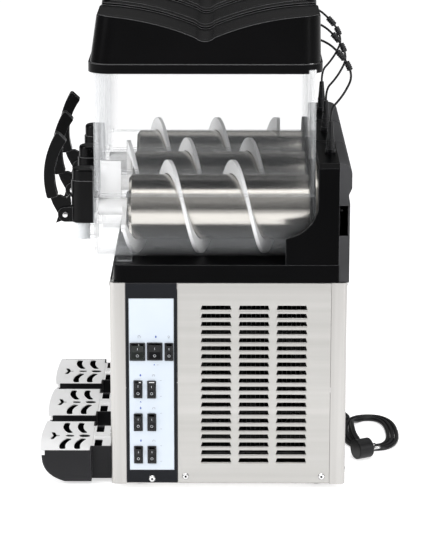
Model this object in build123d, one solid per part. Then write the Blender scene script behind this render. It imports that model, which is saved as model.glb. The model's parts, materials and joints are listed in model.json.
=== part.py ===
from build123d import *
import os
from math import atan2, cos, degrees, hypot, pi, radians, tan

# Three-bowl frozen-drink machine, in millimetres.
# +Z is up, -Y is the tap side, +X is the side with the switches.
# The origin is on the floor under the middle of the cabinet.

# ---------------------------------------------------------------- driving dimensions
UNITS = {"left": -1, "mid": 0, "right": 1}
UNIT_PITCH = 200.0

# cabinet
FOOT_H = 10.0
FOOT_R = 21.0
FOOT_INSET = 48.0
FOOT_TAPER = 0.85
BODY_W = 600.0
BODY_D = 408.0
BODY_H = 363.0
SHEET = 1.2
PAN_T = 2.0
POST_SIDE_W = 27.0
POST_FRONT_W = 26.0
POST_R = 9.0
POST_WALL = 3.0
RAIL = 12.0
PANEL_GAP = 0.5
PANEL_RISE = 3.0
FIT = 0.4

# louvres
LOUVRE_COLUMNS = 3
LOUVRE_ROWS = 20
LOUVRE_W = 52.6
LOUVRE_TOP_W = 48.6
LOUVRE_H = 7.0
LOUVRE_PITCH = 65.2
LOUVRE_ROW_PITCH = 14.5
LOUVRE_BOTTOM = 50.5
LOUVRE_CENTRE_Y = 44.3
REAR_LOUVRE_COLUMNS = 5
REAR_LOUVRE_ROWS = 10
REAR_LOUVRE_BOTTOM = 180.0

# control panel
CONTROL_W = 89.0
CONTROL_PROUD = 1.5
CONTROL_T = 4.0
PLATE_SIDE = 5.0
PLATE_TOP = 27.0
PLATE_BOTTOM = 26.0
PLATE_T = 1.0
ROCKER_H = 31.0
ROCKER_WIDE = 24.0
ROCKER_NARROW = 12.5
ROCKER_FRAME = 1.5
ROCKER_FRAME_PROUD = 1.6
ROCKER_DEPTH = 6.0
ROCKER_BACK_SHARE = 0.6
ROCKER_END_GAP = 1.2
ROCKER_TILT = 7.0
THREE_POSITION = ("rocker_mode", "rocker_mix_left")
ROCKER_PROUD = 2.4
ROCKER_TIP = 5.5
ROCKER_GAP = 0.35
ROCKER_TOP_Z = 251.0
ROCKER_SECOND_Z = 183.0
ROCKER_ROW_PITCH = 59.3
ROCKER_WIDE_1_Y = 20.5
ROCKER_WIDE_2_Y = 50.3
ROCKER_NARROW_TOP_Y = 75.0
ROCKER_COLUMN_1_Y = 21.0
ROCKER_COLUMN_2_Y = 44.5

# deck under the bowls and the hoods behind them
DECK_T = 31.0
DECK_CORNER_R = 15.0
DECK_SETBACK = 7.0
DECK_HALF_W = 298.0
DECK_WALL = 3.5
EDGE_R = 2.0
CRADLE_DEPTH = 5.0
CRADLE_GAP = 0.5
HOOD_H = 176.0
HOOD_DEPTH = 36.0
HOOD_HALF_W = 96.0
HOOD_BEVEL = 8.0
HOOD_WALL = 3.0
HOOD_HOLE_R = 25.0
HOOD_BACK_FROM_REAR = 15.0
CHEEK_T = 6.0
CHEEK_LEN = 55.0
CHEEK_FRONT_H = 46.0
CHEEK_SWEEP_H = 80.0
CHEEK_REAR_H = 96.0
CHEEK_END = 6.0
CHEEK_SAG = 5.0
COVER_DEPTH = 21.0
COVER_ROUND = 17.0
COVER_WAIST = 5.0
COVER_WAIST_DROP = 53.0
COVER_WAIST_H = 4.0
COVER_SLOPE = 11.0
COVER_SKIRT_IN = 3.0
COVER_WALL = 3.0
COVER_GRIP_DROP = 72.0
COVER_GRIP_H = 53.0
COVER_GRIP_DEPTH = 16.0

# drum, auger and bowl, around one axis
DRUM_R = 56.0
DRUM_WALL = 2.0
DRUM_LEN = 316.0
DRUM_DOME = 5.0
DRUM_DOME_STEP = 6.0
DRUM_FLANGE_T = 4.0
DRUM_FLANGE_R = 80.0
SHAFT_R = 8.0
SHAFT_FIT = 0.05
HUB_WALL = 3.0
SHAFT_NOSE = 12.0
RIBBON_GAP = 1.5
RIBBON_H = 23.5
RIBBON_T = 6.0
RIBBON_LEAD = 112.0
RIBBON_LEN = 275.0
NOSE_R = 15.0
NOSE_GAP = 4.0
NOSE_END_GAP = 1.5
PADDLE_LEN = 36.0
PADDLE_T = 7.0
PADDLE_BACK = 10.0
ARM_T = 8.0
ARM_W = 14.0
AUGER_PHASES = {"left": 93.0, "mid": -96.0, "right": 0.0}
RIBBON_START_ANGLE = -254.0
BOWL_GAP = 2.0
BOWL_WALL = 3.0
BOWL_HALF_W = 95.0
BOWL_TOP_ABOVE_DECK = 336.0
BOWL_LEDGE_ABOVE_AXIS = 38.0
BOWL_OVERHANG = 26.0
BOWL_FRONT_R = 34.0
BOWL_REAR_R = 12.0
BOWL_TO_HOOD = 5.0
BOWL_FOOT_X = 62.0
BOWL_FOOT_W = 12.0
BOWL_FOOT_LEN = 26.0
BOWL_FOOT_BACK = 5.0
DECK_CLEAR = 0.3
SEAL_T = 9.0
SEAL_GAP = 0.4

# drives
GEARCASE_W = 104.0
GEARCASE_RISE = 52.0
GEARCASE_DROP = 62.0
GEARCASE_T = 24.0
GEARCASE_R = 12.0
MOTOR_R = 32.0
MOTOR_LEN = 14.0
MOTOR_DROP = 22.0
SHAFT_GRIP = 14.0

# tap
SPOUT_R = 17.5
SPOUT_BORE_R = 13.0
SPOUT_TOP_BELOW_AXIS = 19.0
SPOUT_LEN = 83.0
PORT_R = 10.0
PORT_ABOVE_SPOUT_END = 60.0
SPOUT_WEB_HALF_W = 11.0
SPOUT_WEB_DROP = 34.0
SPOUT_SEAT_GAP = 0.05
SPOUT_SETBACK = 2.0
TAP_BOSS = 4.5
TAP_HALF_W = 19.0
TAP_H = 74.0
TAP_SOCKET = 7.0
TAP_CAP_H = 22.0
TAP_CAP_STEP = 2.0
TAP_CAP_ROUND = 6.0
TAP_CAP_WALL = 3.0
TAP_WALL_GAP = 0.4
PISTON_FIT = 0.08
PISTON_BELOW_PORT = 4.0
PISTON_HEAD = 26.0
SLOT_HALF_W = 5.0
SLOT_BELOW = 4.0
SLOT_H = 38.0
EAR_ROOT_H = 27.0
EAR_T = 4.0
EAR_GAP = 0.5
PIVOT_FORWARD = 29.5
PIVOT_UP = 13.0
PIVOT_R = 3.0
PIVOT_HEAD_R = 5.0
PIVOT_HEAD_T = 2.0
PIVOT_FIT = 0.08
HANDLE_W = 20.0
GRIP_EDGE_R = 4.0
FINGER_T = 6.0
FINGER_REACH = 38.0
FINGER_UP = 10.0
NOTCH_BELOW = 9.6
NOTCH_ABOVE = 6.0
NOTCH_END_GAP = 2.0

# lid
LID_HALF_W = 98.0
LID_FLANGE_H = 16.0
LID_SKIRT = 6.0
LID_H = 104.0
LID_FRONT_OVERHANG = 7.5
LID_REAR_OVERHANG = 11.0
LID_FRONT_TAPER = 13.0
LID_REAR_TAPER = 1.5
LID_SIDE_TAPER = 2.0
LID_STEP = 3.0
LID_SIDE_STEP = 3.0
LID_WALL = 3.0
LID_CORNER_R = 37.0
LID_BORDER = 27.0
LID_DISH = 4.0
LID_SEAT_INSET = 1.0
LID_REST_GAP = 0.3
VALLEY_Y = -40.0
VALLEY_DEPTH = 49.5
VALLEY_HALF = 16.0
VALLEY_ROUND = 6.5
VALLEY_MID_DROP = 15.5
VALLEY_END_DROP = 7.0

# drip trays
TRAY_HALF_W = 84.0
TRAY_NECK_HALF_W = 59.0
TRAY_FRONT = 126.0
TRAY_NECK_LEN = 36.0
TRAY_BOTTOM = 6.0
TRAY_H = 58.0
TRAY_WALL = 4.0
TRAY_RIM = 2.0
TRAY_TAPER = 36.0
TRAY_DRAFT = 8.0
TRAY_BELLY_H = 14.0
TRAY_BELLY_TAPER = 13.0
TRAY_BELLY_DRAFT = 3.0
TRAY_BULGE = 4.0
TRAY_CORNER_R = 5.0
TRAY_GAP = 0.5
GRILLE_T = 1.5
GRILLE_OVERHANG = 2.5
GRILLE_GAP = 0.5
GRILLE_LIP = 6.0
LIP_GAP = 1.2
# grille holes, as x from the middle and y back from the tray's front edge
CURVE_IN = (20.0, 47.0)
CURVE_MID = (44.0, 39.0)
CURVE_OUT = (70.0, 39.5)
CURVE_W = 10.5
CURVE_PITCH = 26.0
OVALS = ((48.5, 15.5, 12.0), (74.7, 19.4, 16.0))
FORK_Y = 22.0
FORK_TIP = 5.5
FORK_REACH = (17.0, -4.5)
FORK_W = 6.5
WINDOW_X = 39.0
WINDOW_AHEAD = 25.0
WINDOW_W = 37.0
WINDOW_LEN = 13.5
RIB_W = 9.0
RIB_T = 2.0
RIB_BACK = 6.0
RIB_AHEAD = 34.0
GROOVE_W = 2.0
GROOVE_DEPTH = 0.6

# refrigeration
COMPRESSOR_R = 62.0
COMPRESSOR_H = 150.0
COMPRESSOR_X = -150.0
COMPRESSOR_Y = 60.0
COMPRESSOR_ROUND = 36.0
COMPRESSOR_BASE = 6.0
CONDENSER_T = 40.0
CONDENSER_W = 210.0
CONDENSER_H = 275.0
CONDENSER_FROM_SIDE = 26.0
CONDENSER_Y = 44.0
CONDENSER_Z = 60.0
CONDENSER_FINS = 26
CONDENSER_TUBES = 6
CONDENSER_TUBE_R = 4.0
END_PLATE_T = 1.5
FIN_T = 0.8
SHROUD_T = 28.0
FAN_R = 88.0
FAN_GAP = 4.0
FAN_BLADES = 5
FAN_HUB_R = 22.0
FAN_BLADE_T = 2.0
FAN_BLADE_W = 34.0
FAN_BLADE_ANGLE = 55.0
FAN_SHAFT_R = 4.0
FAN_MOTOR_R = 35.0
FAN_MOTOR_LEN = 50.0
STAND_HALF_W = 14.0

# fasteners
SCREW_HEAD_R = 6.2
SCREW_HEAD_T = 2.2
SCREW_HEAD_TAPER = 0.7
SCREW_EDGE = 14.0
SCREW_DROP = 4.0

# cables
LIGHT_CABLE_D = 4.0
LIGHT_SOCKET_R = 6.5
LIGHT_SOCKET_H = 56.0
LIGHT_COLLAR_R = 9.0
LIGHT_COLLAR_H = 8.0
LIGHT_NECK_LEN = 30.0
LIGHT_SOCKET_INSET = 13.0
MAINS_D = 8.0
GLAND_X = -170.0
GLAND_Z = 92.0
GLAND_R = 9.0
GLAND_OUT = 12.0
GLAND_IN = 4.0
GLAND_NECK_R = 6.0
ARC_SHARE = 0.45
COIL_SIZE = (216.0, 117.0)
COIL_X = -11.0
COIL_BEHIND = 4.0
COIL_BAND = 24.0
COIL_H = 24.0
COIL_FRONT_R = 45.0
COIL_REAR_R = 60.0
PLUG_X = 127.0
PLUG_BEHIND = 40.0
PLUG_R = 18.0
PLUG_LEN = 30.0
PLUG_HEADING = 120.0
PLUG_PIN_R = 2.4
PLUG_PIN_LEN = 19.0
PLUG_PIN_PITCH = 19.0
PLUG_RELIEF_R = 6.5
PLUG_RELIEF_GAP = 0.3

# route of the mains lead from the gland to the coil, as x, y behind the cabinet and z
MAINS_ROUTE = [(-170, 12, 75), (-170, 12, 35), (-141, 12, 4.2), (-105.5, 12, 4.2)]
# route of a lid's light cable, as x from the unit's middle, y behind the hood and z above it
LIGHT_ROUTE = [(0, -32.7, 197), (1, -19, 192), (2, -1, 176), (2, 16, 156), (2, 23, 132),
               (1, 13, 110), (0, 1, 92), (0, -13, 77), (0, -13, 56)]

# ---------------------------------------------------------------- derived places
BODY_BOTTOM = FOOT_H
BODY_TOP = FOOT_H + BODY_H
DECK_TOP = BODY_TOP + DECK_T
FRONT = -BODY_D / 2
REAR = BODY_D / 2
SIDE = BODY_W / 2
RIBBON_R_IN = DRUM_R + RIBBON_GAP
AUGER_R = RIBBON_R_IN + RIBBON_H
BOWL_R_IN = AUGER_R + BOWL_GAP
BOWL_R_OUT = BOWL_R_IN + BOWL_WALL
AXIS_Z = DECK_TOP + BOWL_R_OUT - CRADLE_DEPTH
HOOD_BACK = REAR - HOOD_BACK_FROM_REAR
HOOD_FRONT = HOOD_BACK - HOOD_DEPTH
HOOD_TOP = DECK_TOP + HOOD_H
BOWL_FRONT_Y = FRONT - BOWL_OVERHANG
BOWL_REAR_Y = HOOD_FRONT - BOWL_TO_HOOD
BOWL_TOP = DECK_TOP + BOWL_TOP_ABOVE_DECK
LEDGE_Z = AXIS_Z + BOWL_LEDGE_ABOVE_AXIS
DRUM_REAR_Y = HOOD_FRONT - DRUM_FLANGE_T
DRUM_FRONT_Y = DRUM_REAR_Y - DRUM_LEN
SHAFT_FRONT_Y = DRUM_FRONT_Y - DRUM_DOME - SHAFT_NOSE
TAP_BACK_Y = BOWL_FRONT_Y - TAP_BOSS
TAP_Y = TAP_BACK_Y - SPOUT_SETBACK - SPOUT_R
SPOUT_TOP = AXIS_Z - SPOUT_TOP_BELOW_AXIS
SPOUT_END = SPOUT_TOP - SPOUT_LEN
PORT_Z = SPOUT_END + PORT_ABOVE_SPOUT_END
TAP_BOTTOM = SPOUT_TOP - TAP_SOCKET
TAP_TOP = TAP_BOTTOM + TAP_H
PIVOT_Y = TAP_Y - PIVOT_FORWARD
PIVOT_Z = TAP_BOTTOM + PIVOT_UP
LID_BOTTOM = BOWL_TOP - LID_SKIRT
LID_FRONT_Y = BOWL_FRONT_Y - LID_FRONT_OVERHANG
LID_REAR_Y = BOWL_REAR_Y + LID_REAR_OVERHANG
TRAY_TOP = TRAY_BOTTOM + TRAY_H
TRAY_FRONT_Y = FRONT - TRAY_FRONT
TRAY_SHOULDER_Y = TRAY_FRONT_Y + TRAY_BULGE + TRAY_CORNER_R
TRAY_NECK_Y = FRONT - TRAY_NECK_LEN
CONTROL_FRONT_Y = FRONT + POST_SIDE_W
CONTROL_REAR_Y = CONTROL_FRONT_Y + CONTROL_W
FAN_Z = CONDENSER_Z + CONDENSER_W / 2
LIGHT_NECK_Z = HOOD_TOP + LIGHT_SOCKET_H - LIGHT_NECK_LEN
CONDENSER_X1 = SIDE - CONDENSER_FROM_SIDE
CONDENSER_X0 = CONDENSER_X1 - CONDENSER_T
LIGHT_SOCKET_Y = HOOD_BACK - LIGHT_SOCKET_INSET


# ---------------------------------------------------------------- helpers
def box(x0, x1, y0, y1, z0, z1):
    """A block given by its low and high sides."""
    centre = ((x0 + x1) / 2, (y0 + y1) / 2, (z0 + z1) / 2)
    return Pos(*centre) * Box(x1 - x0, y1 - y0, z1 - z0)


def rod_y(radius, y0, y1, x=0.0, z=0.0):
    """A cylinder along Y."""
    return Pos(x, (y0 + y1) / 2, z) * Rot(90, 0, 0) * Cylinder(radius, y1 - y0)


def rod_x(radius, x0, x1, y=0.0, z=0.0):
    """A cylinder along X."""
    return Pos((x0 + x1) / 2, y, z) * Rot(0, 90, 0) * Cylinder(radius, x1 - x0)


def rod_z(radius, z0, z1, x=0.0, y=0.0):
    """A cylinder along Z."""
    return Pos(x, y, (z0 + z1) / 2) * Cylinder(radius, z1 - z0)


def prism_x(face_yz, x0, x1):
    """A face drawn as (y, z) and stretched from x0 to x1."""
    return Pos(x0, 0, 0) * extrude(Plane.YZ * face_yz, x1 - x0)


def prism_y(face_xz, y0, y1):
    """A face drawn as (x, z) and stretched from y0 to y1."""
    return Pos(0, y1, 0) * extrude(Plane.XZ * face_xz, y1 - y0)


def outline(*points):
    """A flat face inside straight sides."""
    return make_face(Polyline(*points, close=True))


def plan(half_w, y0, y1, front_r, rear_r):
    """A rectangle seen from above with its own front and rear corner radii."""
    face = outline((-half_w, y0), (half_w, y0), (half_w, y1), (-half_w, y1))
    front = [v for v in face.vertices() if v.Y < (y0 + y1) / 2]
    face = fillet(front, front_r)
    rear = [v for v in face.vertices() if v.Y > y1 - rear_r / 2]
    return fillet(rear, rear_r)


def unit_x(name):
    return UNITS[name] * UNIT_PITCH


def at_unit(name, shape):
    return Pos(unit_x(name), 0, 0) * shape


def save(name, *shapes):
    """Write one node: a lone solid, or a group of separate solids."""
    solids = [solid for shape in shapes for solid in shape.solids()]
    node = solids[0] if len(solids) == 1 else Compound(children=solids)
    export_step(node, f"parts/{name}.step")


# ---------------------------------------------------------------- cabinet
def corner_post(sx, sy):
    """An angle post with a rounded outer corner."""
    face = Rectangle(POST_FRONT_W, POST_SIDE_W)
    outer = [v for v in face.vertices() if v.X * sx > 0 and v.Y * sy > 0]
    core = Pos(-sx * POST_WALL, -sy * POST_WALL) * face
    post = extrude(fillet(outer, POST_R) - core, BODY_H)
    return Pos(sx * (SIDE - POST_FRONT_W / 2), sy * (REAR - POST_SIDE_W / 2), BODY_BOTTOM) * post


def base_frame():
    """Bottom pan, four corner posts and the top rails, welded together."""
    pan_y = REAR - POST_WALL
    frame = box(-SIDE + POST_WALL, SIDE - POST_WALL, -pan_y, pan_y, BODY_BOTTOM, BODY_BOTTOM + PAN_T)
    for sx in (-1, 1):
        for sy in (-1, 1):
            frame += corner_post(sx, sy)
    outer = box(-SIDE + POST_WALL, SIDE - POST_WALL, -pan_y, pan_y, BODY_TOP - RAIL, BODY_TOP)
    inner = box(-SIDE + POST_WALL + RAIL, SIDE - POST_WALL - RAIL, -pan_y + RAIL, pan_y - RAIL,
                BODY_TOP - RAIL, BODY_TOP)
    return frame + (outer - inner)


def louvre_field(columns, rows):
    """Louvre slots centred on zero across, and rising from zero, as a flat sketch."""
    slot = outline((-LOUVRE_W / 2, 0), (LOUVRE_W / 2, 0), (LOUVRE_TOP_W / 2, LOUVRE_H),
                   (-LOUVRE_TOP_W / 2, LOUVRE_H))
    places = [
        ((column - (columns - 1) / 2) * LOUVRE_PITCH, row * LOUVRE_ROW_PITCH)
        for column in range(columns)
        for row in range(rows)
    ]
    return Sketch(children=[Pos(*place) * slot for place in places])


def side_panel(side):
    """A steel side sheet with three columns of louvres."""
    front = CONTROL_REAR_Y if side > 0 else CONTROL_FRONT_Y
    rear = REAR - POST_SIDE_W
    low, high = BODY_BOTTOM + PANEL_RISE, BODY_TOP - PANEL_GAP
    x0, x1 = sorted((side * (SIDE - SHEET), side * SIDE))
    sheet = box(x0, x1, front + PANEL_GAP, rear - PANEL_GAP, low, high)
    slots = Pos(LOUVRE_CENTRE_Y, LOUVRE_BOTTOM) * louvre_field(LOUVRE_COLUMNS, LOUVRE_ROWS)
    return sheet - prism_x(slots, x0 - SHEET, x1 + SHEET)


def front_panel():
    """The plain steel sheet behind the drip trays."""
    half = SIDE - POST_FRONT_W - PANEL_GAP
    return box(-half, half, FRONT, FRONT + SHEET, BODY_BOTTOM + PANEL_RISE, BODY_TOP - PANEL_GAP)


def rear_panel():
    """The rear steel sheet, with louvres and a hole for the mains gland."""
    half = SIDE - POST_FRONT_W - PANEL_GAP
    sheet = box(-half, half, REAR - SHEET, REAR, BODY_BOTTOM + PANEL_RISE, BODY_TOP - PANEL_GAP)
    slots = Pos(0, REAR_LOUVRE_BOTTOM) * louvre_field(REAR_LOUVRE_COLUMNS, REAR_LOUVRE_ROWS)
    sheet -= prism_y(slots, REAR - 2 * SHEET, REAR + SHEET)
    return sheet - rod_y(GLAND_R, REAR - 2 * SHEET, REAR + SHEET, GLAND_X, GLAND_Z)


def feet():
    """Four rubber feet under the pan."""
    x, y = SIDE - FOOT_INSET, REAR - FOOT_INSET
    foot = Cone(FOOT_R * FOOT_TAPER, FOOT_R, FOOT_H)
    return [Pos(sx * x, sy * y, FOOT_H / 2) * foot for sx in (-1, 1) for sy in (-1, 1)]


def screw():
    """A domed screw head standing on zero."""
    head = Cone(SCREW_HEAD_R, SCREW_HEAD_R * SCREW_HEAD_TAPER, SCREW_HEAD_T)
    return Pos(0, 0, SCREW_HEAD_T / 2) * head


def screws():
    """Screw heads on the side panels, the control panel, the front and the rear."""
    low = BODY_BOTTOM + SCREW_EDGE
    rear_y = REAR - POST_SIDE_W - SCREW_EDGE
    spots = []
    for side in (-1, 1):
        front_y = (CONTROL_REAR_Y if side > 0 else CONTROL_FRONT_Y) + SCREW_EDGE
        spots += [Pos(side * SIDE, y, low) * Rot(0, side * 90, 0) for y in (front_y, rear_y)]
    control_x = SIDE + CONTROL_PROUD
    spots.append(Pos(control_x, (CONTROL_FRONT_Y + CONTROL_REAR_Y) / 2, low - SCREW_DROP) * Rot(0, 90, 0))
    half = SIDE - POST_FRONT_W - SCREW_EDGE
    above_trays = TRAY_TOP + 2 * SCREW_EDGE
    for x in (-half, half):
        spots += [Pos(x, REAR, z) * Rot(-90, 0, 0) for z in (low, BODY_TOP - SCREW_EDGE)]
        spots += [Pos(x, FRONT, z) * Rot(90, 0, 0) for z in (above_trays, BODY_TOP - SCREW_EDGE)]
    return [spot * screw() for spot in spots]


# ---------------------------------------------------------------- switches
def rocker_places():
    """Name, middle along Y, middle height and width of each rocker."""
    first = [("rocker_power", ROCKER_WIDE_1_Y, ROCKER_WIDE), ("rocker_mode", ROCKER_WIDE_2_Y, ROCKER_WIDE),
             ("rocker_light", ROCKER_NARROW_TOP_Y, ROCKER_NARROW)]
    places = [(name, CONTROL_FRONT_Y + y, ROCKER_TOP_Z, width) for name, y, width in first]
    for row, unit in enumerate(UNITS):
        z = ROCKER_SECOND_Z - row * ROCKER_ROW_PITCH
        places.append((f"rocker_mix_{unit}", CONTROL_FRONT_Y + ROCKER_COLUMN_1_Y, z, ROCKER_NARROW))
        places.append((f"rocker_cool_{unit}", CONTROL_FRONT_Y + ROCKER_COLUMN_2_Y, z, ROCKER_NARROW))
    return places


def rocker(name, y, z, width):
    """A rocker cap with a dished face; on-off ones lie tilted in their off place."""
    half_z = ROCKER_H / 2 - ROCKER_FRAME - ROCKER_END_GAP
    half_y = width / 2 - ROCKER_FRAME - ROCKER_GAP
    back = ROCKER_BACK_SHARE * half_z
    face = outline((ROCKER_TIP, half_z), (ROCKER_PROUD, 0), (ROCKER_TIP, -half_z),
                   (-ROCKER_DEPTH, -back), (-ROCKER_DEPTH, back))
    tilt = 0.0 if name in THREE_POSITION else ROCKER_TILT
    return Pos(SIDE + CONTROL_PROUD, y, z) * Rot(0, tilt, 0) * prism_y(face, -half_y, half_y)


def control_panel():
    """Black bezel with raised rocker frames and a recess for the printed plate."""
    x1 = SIDE + CONTROL_PROUD
    x0 = x1 - CONTROL_T
    y0, y1 = CONTROL_FRONT_Y + PANEL_GAP, CONTROL_REAR_Y - PANEL_GAP
    panel = box(x0, x1, y0, y1, BODY_BOTTOM + PANEL_RISE, BODY_TOP - PANEL_GAP)
    panel -= box(x1 - PLATE_T, x1, y0 + PLATE_SIDE, y1 - PLATE_SIDE,
                 BODY_BOTTOM + PLATE_BOTTOM, BODY_TOP - PLATE_TOP)
    for _, y, z, width in rocker_places():
        half_y, half_z = width / 2, ROCKER_H / 2
        panel += box(x0, x1 + ROCKER_FRAME_PROUD, y - half_y, y + half_y, z - half_z, z + half_z)
        panel -= box(x0, x1 + ROCKER_FRAME_PROUD, y - half_y + ROCKER_FRAME, y + half_y - ROCKER_FRAME,
                     z - half_z + ROCKER_FRAME, z + half_z - ROCKER_FRAME)
    return panel


# ---------------------------------------------------------------- deck, hoods and drives
def deck():
    """Black deck moulding, hollow below, with a shallow cradle under each bowl."""
    y0 = FRONT + DECK_SETBACK
    cavity_top = DECK_TOP - CRADLE_DEPTH - CRADLE_GAP - DECK_WALL
    slab = Pos(0, 0, BODY_TOP) * extrude(plan(DECK_HALF_W, y0, HOOD_BACK, DECK_CORNER_R, EDGE_R), DECK_T)
    inner = plan(DECK_HALF_W - DECK_WALL, y0 + DECK_WALL, HOOD_BACK - DECK_WALL,
                 DECK_CORNER_R - DECK_WALL, EDGE_R)
    slab -= Pos(0, 0, BODY_TOP) * extrude(inner, cavity_top - BODY_TOP)
    for name in UNITS:
        slab -= rod_y(BOWL_R_OUT + CRADLE_GAP, y0, HOOD_FRONT, unit_x(name), AXIS_Z)
    return slab


def cheek_face():
    """Side outline of the low wall beside a bowl, swept up towards the hood."""
    y0 = HOOD_FRONT - CHEEK_LEN
    y1 = HOOD_FRONT - CHEEK_END
    low, high = DECK_TOP + CHEEK_FRONT_H, DECK_TOP + CHEEK_SWEEP_H
    middle = ((y0 + y1) / 2 + CHEEK_SAG, (low + high) / 2 - CHEEK_SAG)
    sweep_up = ThreePointArc((y0, low), middle, (y1, high))
    rest = Polyline((y1, high), (HOOD_FRONT, DECK_TOP + CHEEK_REAR_H), (HOOD_FRONT, DECK_TOP),
                    (y0, DECK_TOP), (y0, low))
    return make_face([sweep_up, rest])


def motor_hood():
    """Open-backed hood over one drive, with bevelled shoulders, side cheeks and a shaft hole."""
    shoulder = HOOD_TOP - HOOD_BEVEL
    outer = outline((-HOOD_HALF_W, DECK_TOP), (HOOD_HALF_W, DECK_TOP), (HOOD_HALF_W, shoulder),
                    (HOOD_HALF_W - HOOD_BEVEL, HOOD_TOP), (-HOOD_HALF_W + HOOD_BEVEL, HOOD_TOP),
                    (-HOOD_HALF_W, shoulder))
    hood = prism_y(outer, HOOD_FRONT, HOOD_BACK)
    inside = HOOD_HALF_W - HOOD_WALL
    hood -= box(-inside, inside, HOOD_FRONT + HOOD_WALL, HOOD_BACK, DECK_TOP, shoulder - HOOD_WALL)
    for x0 in (-HOOD_HALF_W, HOOD_HALF_W - CHEEK_T):
        hood += prism_x(cheek_face(), x0, x0 + CHEEK_T)
    return hood - rod_y(HOOD_HOLE_R, HOOD_FRONT, HOOD_FRONT + HOOD_WALL, z=AXIS_Z)


def cover_face(inset):
    """The rear cover's side outline: round shoulder, full chest, a narrow waist and a skirt."""
    back = HOOD_BACK + COVER_DEPTH - inset
    waist = back - COVER_WAIST
    skirt = back - COVER_SKIRT_IN
    top = HOOD_TOP - inset
    low = BODY_TOP + inset
    waist_top = HOOD_TOP - COVER_WAIST_DROP + inset
    waist_low = waist_top - COVER_WAIST_H - 2 * inset
    crown = back - COVER_ROUND
    sag = COVER_ROUND * (1 - cos(radians(45)))
    front = HOOD_BACK
    shoulder = ThreePointArc((crown, top), (back - sag, top - sag), (back, top - COVER_ROUND))
    chain = Polyline((back, top - COVER_ROUND), (back, waist_top + COVER_SLOPE), (waist, waist_top),
                     (waist, waist_low), (skirt, waist_low - COVER_SLOPE), (skirt, low), (front, low),
                     (front, top), (crown, top))
    return make_face([shoulder, chain])


def rear_cover():
    """Moulded cover that closes one hood from behind, with a hand hold in each side."""
    inside = HOOD_HALF_W - COVER_WALL
    shell = prism_x(cover_face(0), -HOOD_HALF_W, HOOD_HALF_W)
    shell -= prism_x(cover_face(COVER_WALL), -inside, inside)
    grip_top = HOOD_TOP - COVER_GRIP_DROP
    for x0 in (-HOOD_HALF_W, inside):
        shell -= box(x0, x0 + COVER_WALL, HOOD_BACK, HOOD_BACK + COVER_GRIP_DEPTH,
                     grip_top - COVER_GRIP_H, grip_top)
    return shell


def evaporator():
    """Chilled drum: a thin steel can with a domed nose, a shaft tube and a rear flange."""
    nose = Pos(0, DRUM_FRONT_Y - DRUM_DOME / 2, AXIS_Z) * Rot(90, 0, 0)
    dome = nose * Cone(DRUM_R, DRUM_R - DRUM_DOME_STEP, DRUM_DOME)
    drum = rod_y(DRUM_R, DRUM_FRONT_Y, DRUM_REAR_Y, z=AXIS_Z) + dome
    drum += rod_y(DRUM_FLANGE_R, DRUM_REAR_Y, HOOD_FRONT, z=AXIS_Z)
    drum -= rod_y(DRUM_R - DRUM_WALL, DRUM_FRONT_Y + DRUM_WALL, HOOD_FRONT, z=AXIS_Z)
    drum += rod_y(SHAFT_R + HUB_WALL, DRUM_FRONT_Y, HOOD_FRONT, z=AXIS_Z)
    return drum - rod_y(SHAFT_R + SHAFT_FIT, DRUM_FRONT_Y - DRUM_DOME, HOOD_FRONT, z=AXIS_Z)


def bowl_seal():
    """Rubber ring between the drum and the rear mouth of the bowl."""
    y0 = DRUM_REAR_Y - SEAL_T
    ring = rod_y(BOWL_R_IN - SEAL_GAP, y0, DRUM_REAR_Y, z=AXIS_Z)
    return ring - rod_y(DRUM_R, y0, DRUM_REAR_Y, z=AXIS_Z)


def gearmotor():
    """Flat gearcase with a motor can behind it and a bore that grips the drive shaft."""
    case_front = HOOD_FRONT + HOOD_WALL + FIT
    case_back = case_front + GEARCASE_T
    case = box(-GEARCASE_W / 2, GEARCASE_W / 2, case_front, case_back,
               AXIS_Z - GEARCASE_DROP, AXIS_Z + GEARCASE_RISE)
    case = fillet(case.edges().filter_by(Axis.Y), GEARCASE_R)
    case += rod_y(MOTOR_R, case_back, case_back + MOTOR_LEN, z=AXIS_Z - MOTOR_DROP)
    return case - rod_y(SHAFT_R + SHAFT_FIT, case_front, case_front + SHAFT_GRIP, z=AXIS_Z)


def drive_shaft():
    """Steel shaft from the gearcase through the drum to the auger's nose."""
    rear = HOOD_FRONT + HOOD_WALL + SHAFT_GRIP
    return rod_y(SHAFT_R, SHAFT_FRONT_Y, rear, z=AXIS_Z)


# ---------------------------------------------------------------- auger and bowl
def ribbon():
    """The auger's helical blade around the Y axis, right-handed."""
    middle = RIBBON_R_IN + RIBBON_H / 2
    path = Helix(RIBBON_LEAD, RIBBON_LEN, middle)
    section = Plane(origin=path @ 0, x_dir=(1, 0, 0), z_dir=path % 0) * Rectangle(RIBBON_H, RIBBON_T)
    blade = sweep(section, path=path, is_frenet=True)
    return Rot(0, RIBBON_START_ANGLE - 90, 0) * Rot(-90, 0, 0) * blade


def radial_bar(angle, r0, r1, width, y0, y1):
    """A straight bar standing out from the Y axis; the angle runs from +Z towards +X."""
    return Rot(0, angle, 0) * box(-width / 2, width / 2, y0, y1, r0, r1)


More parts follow.
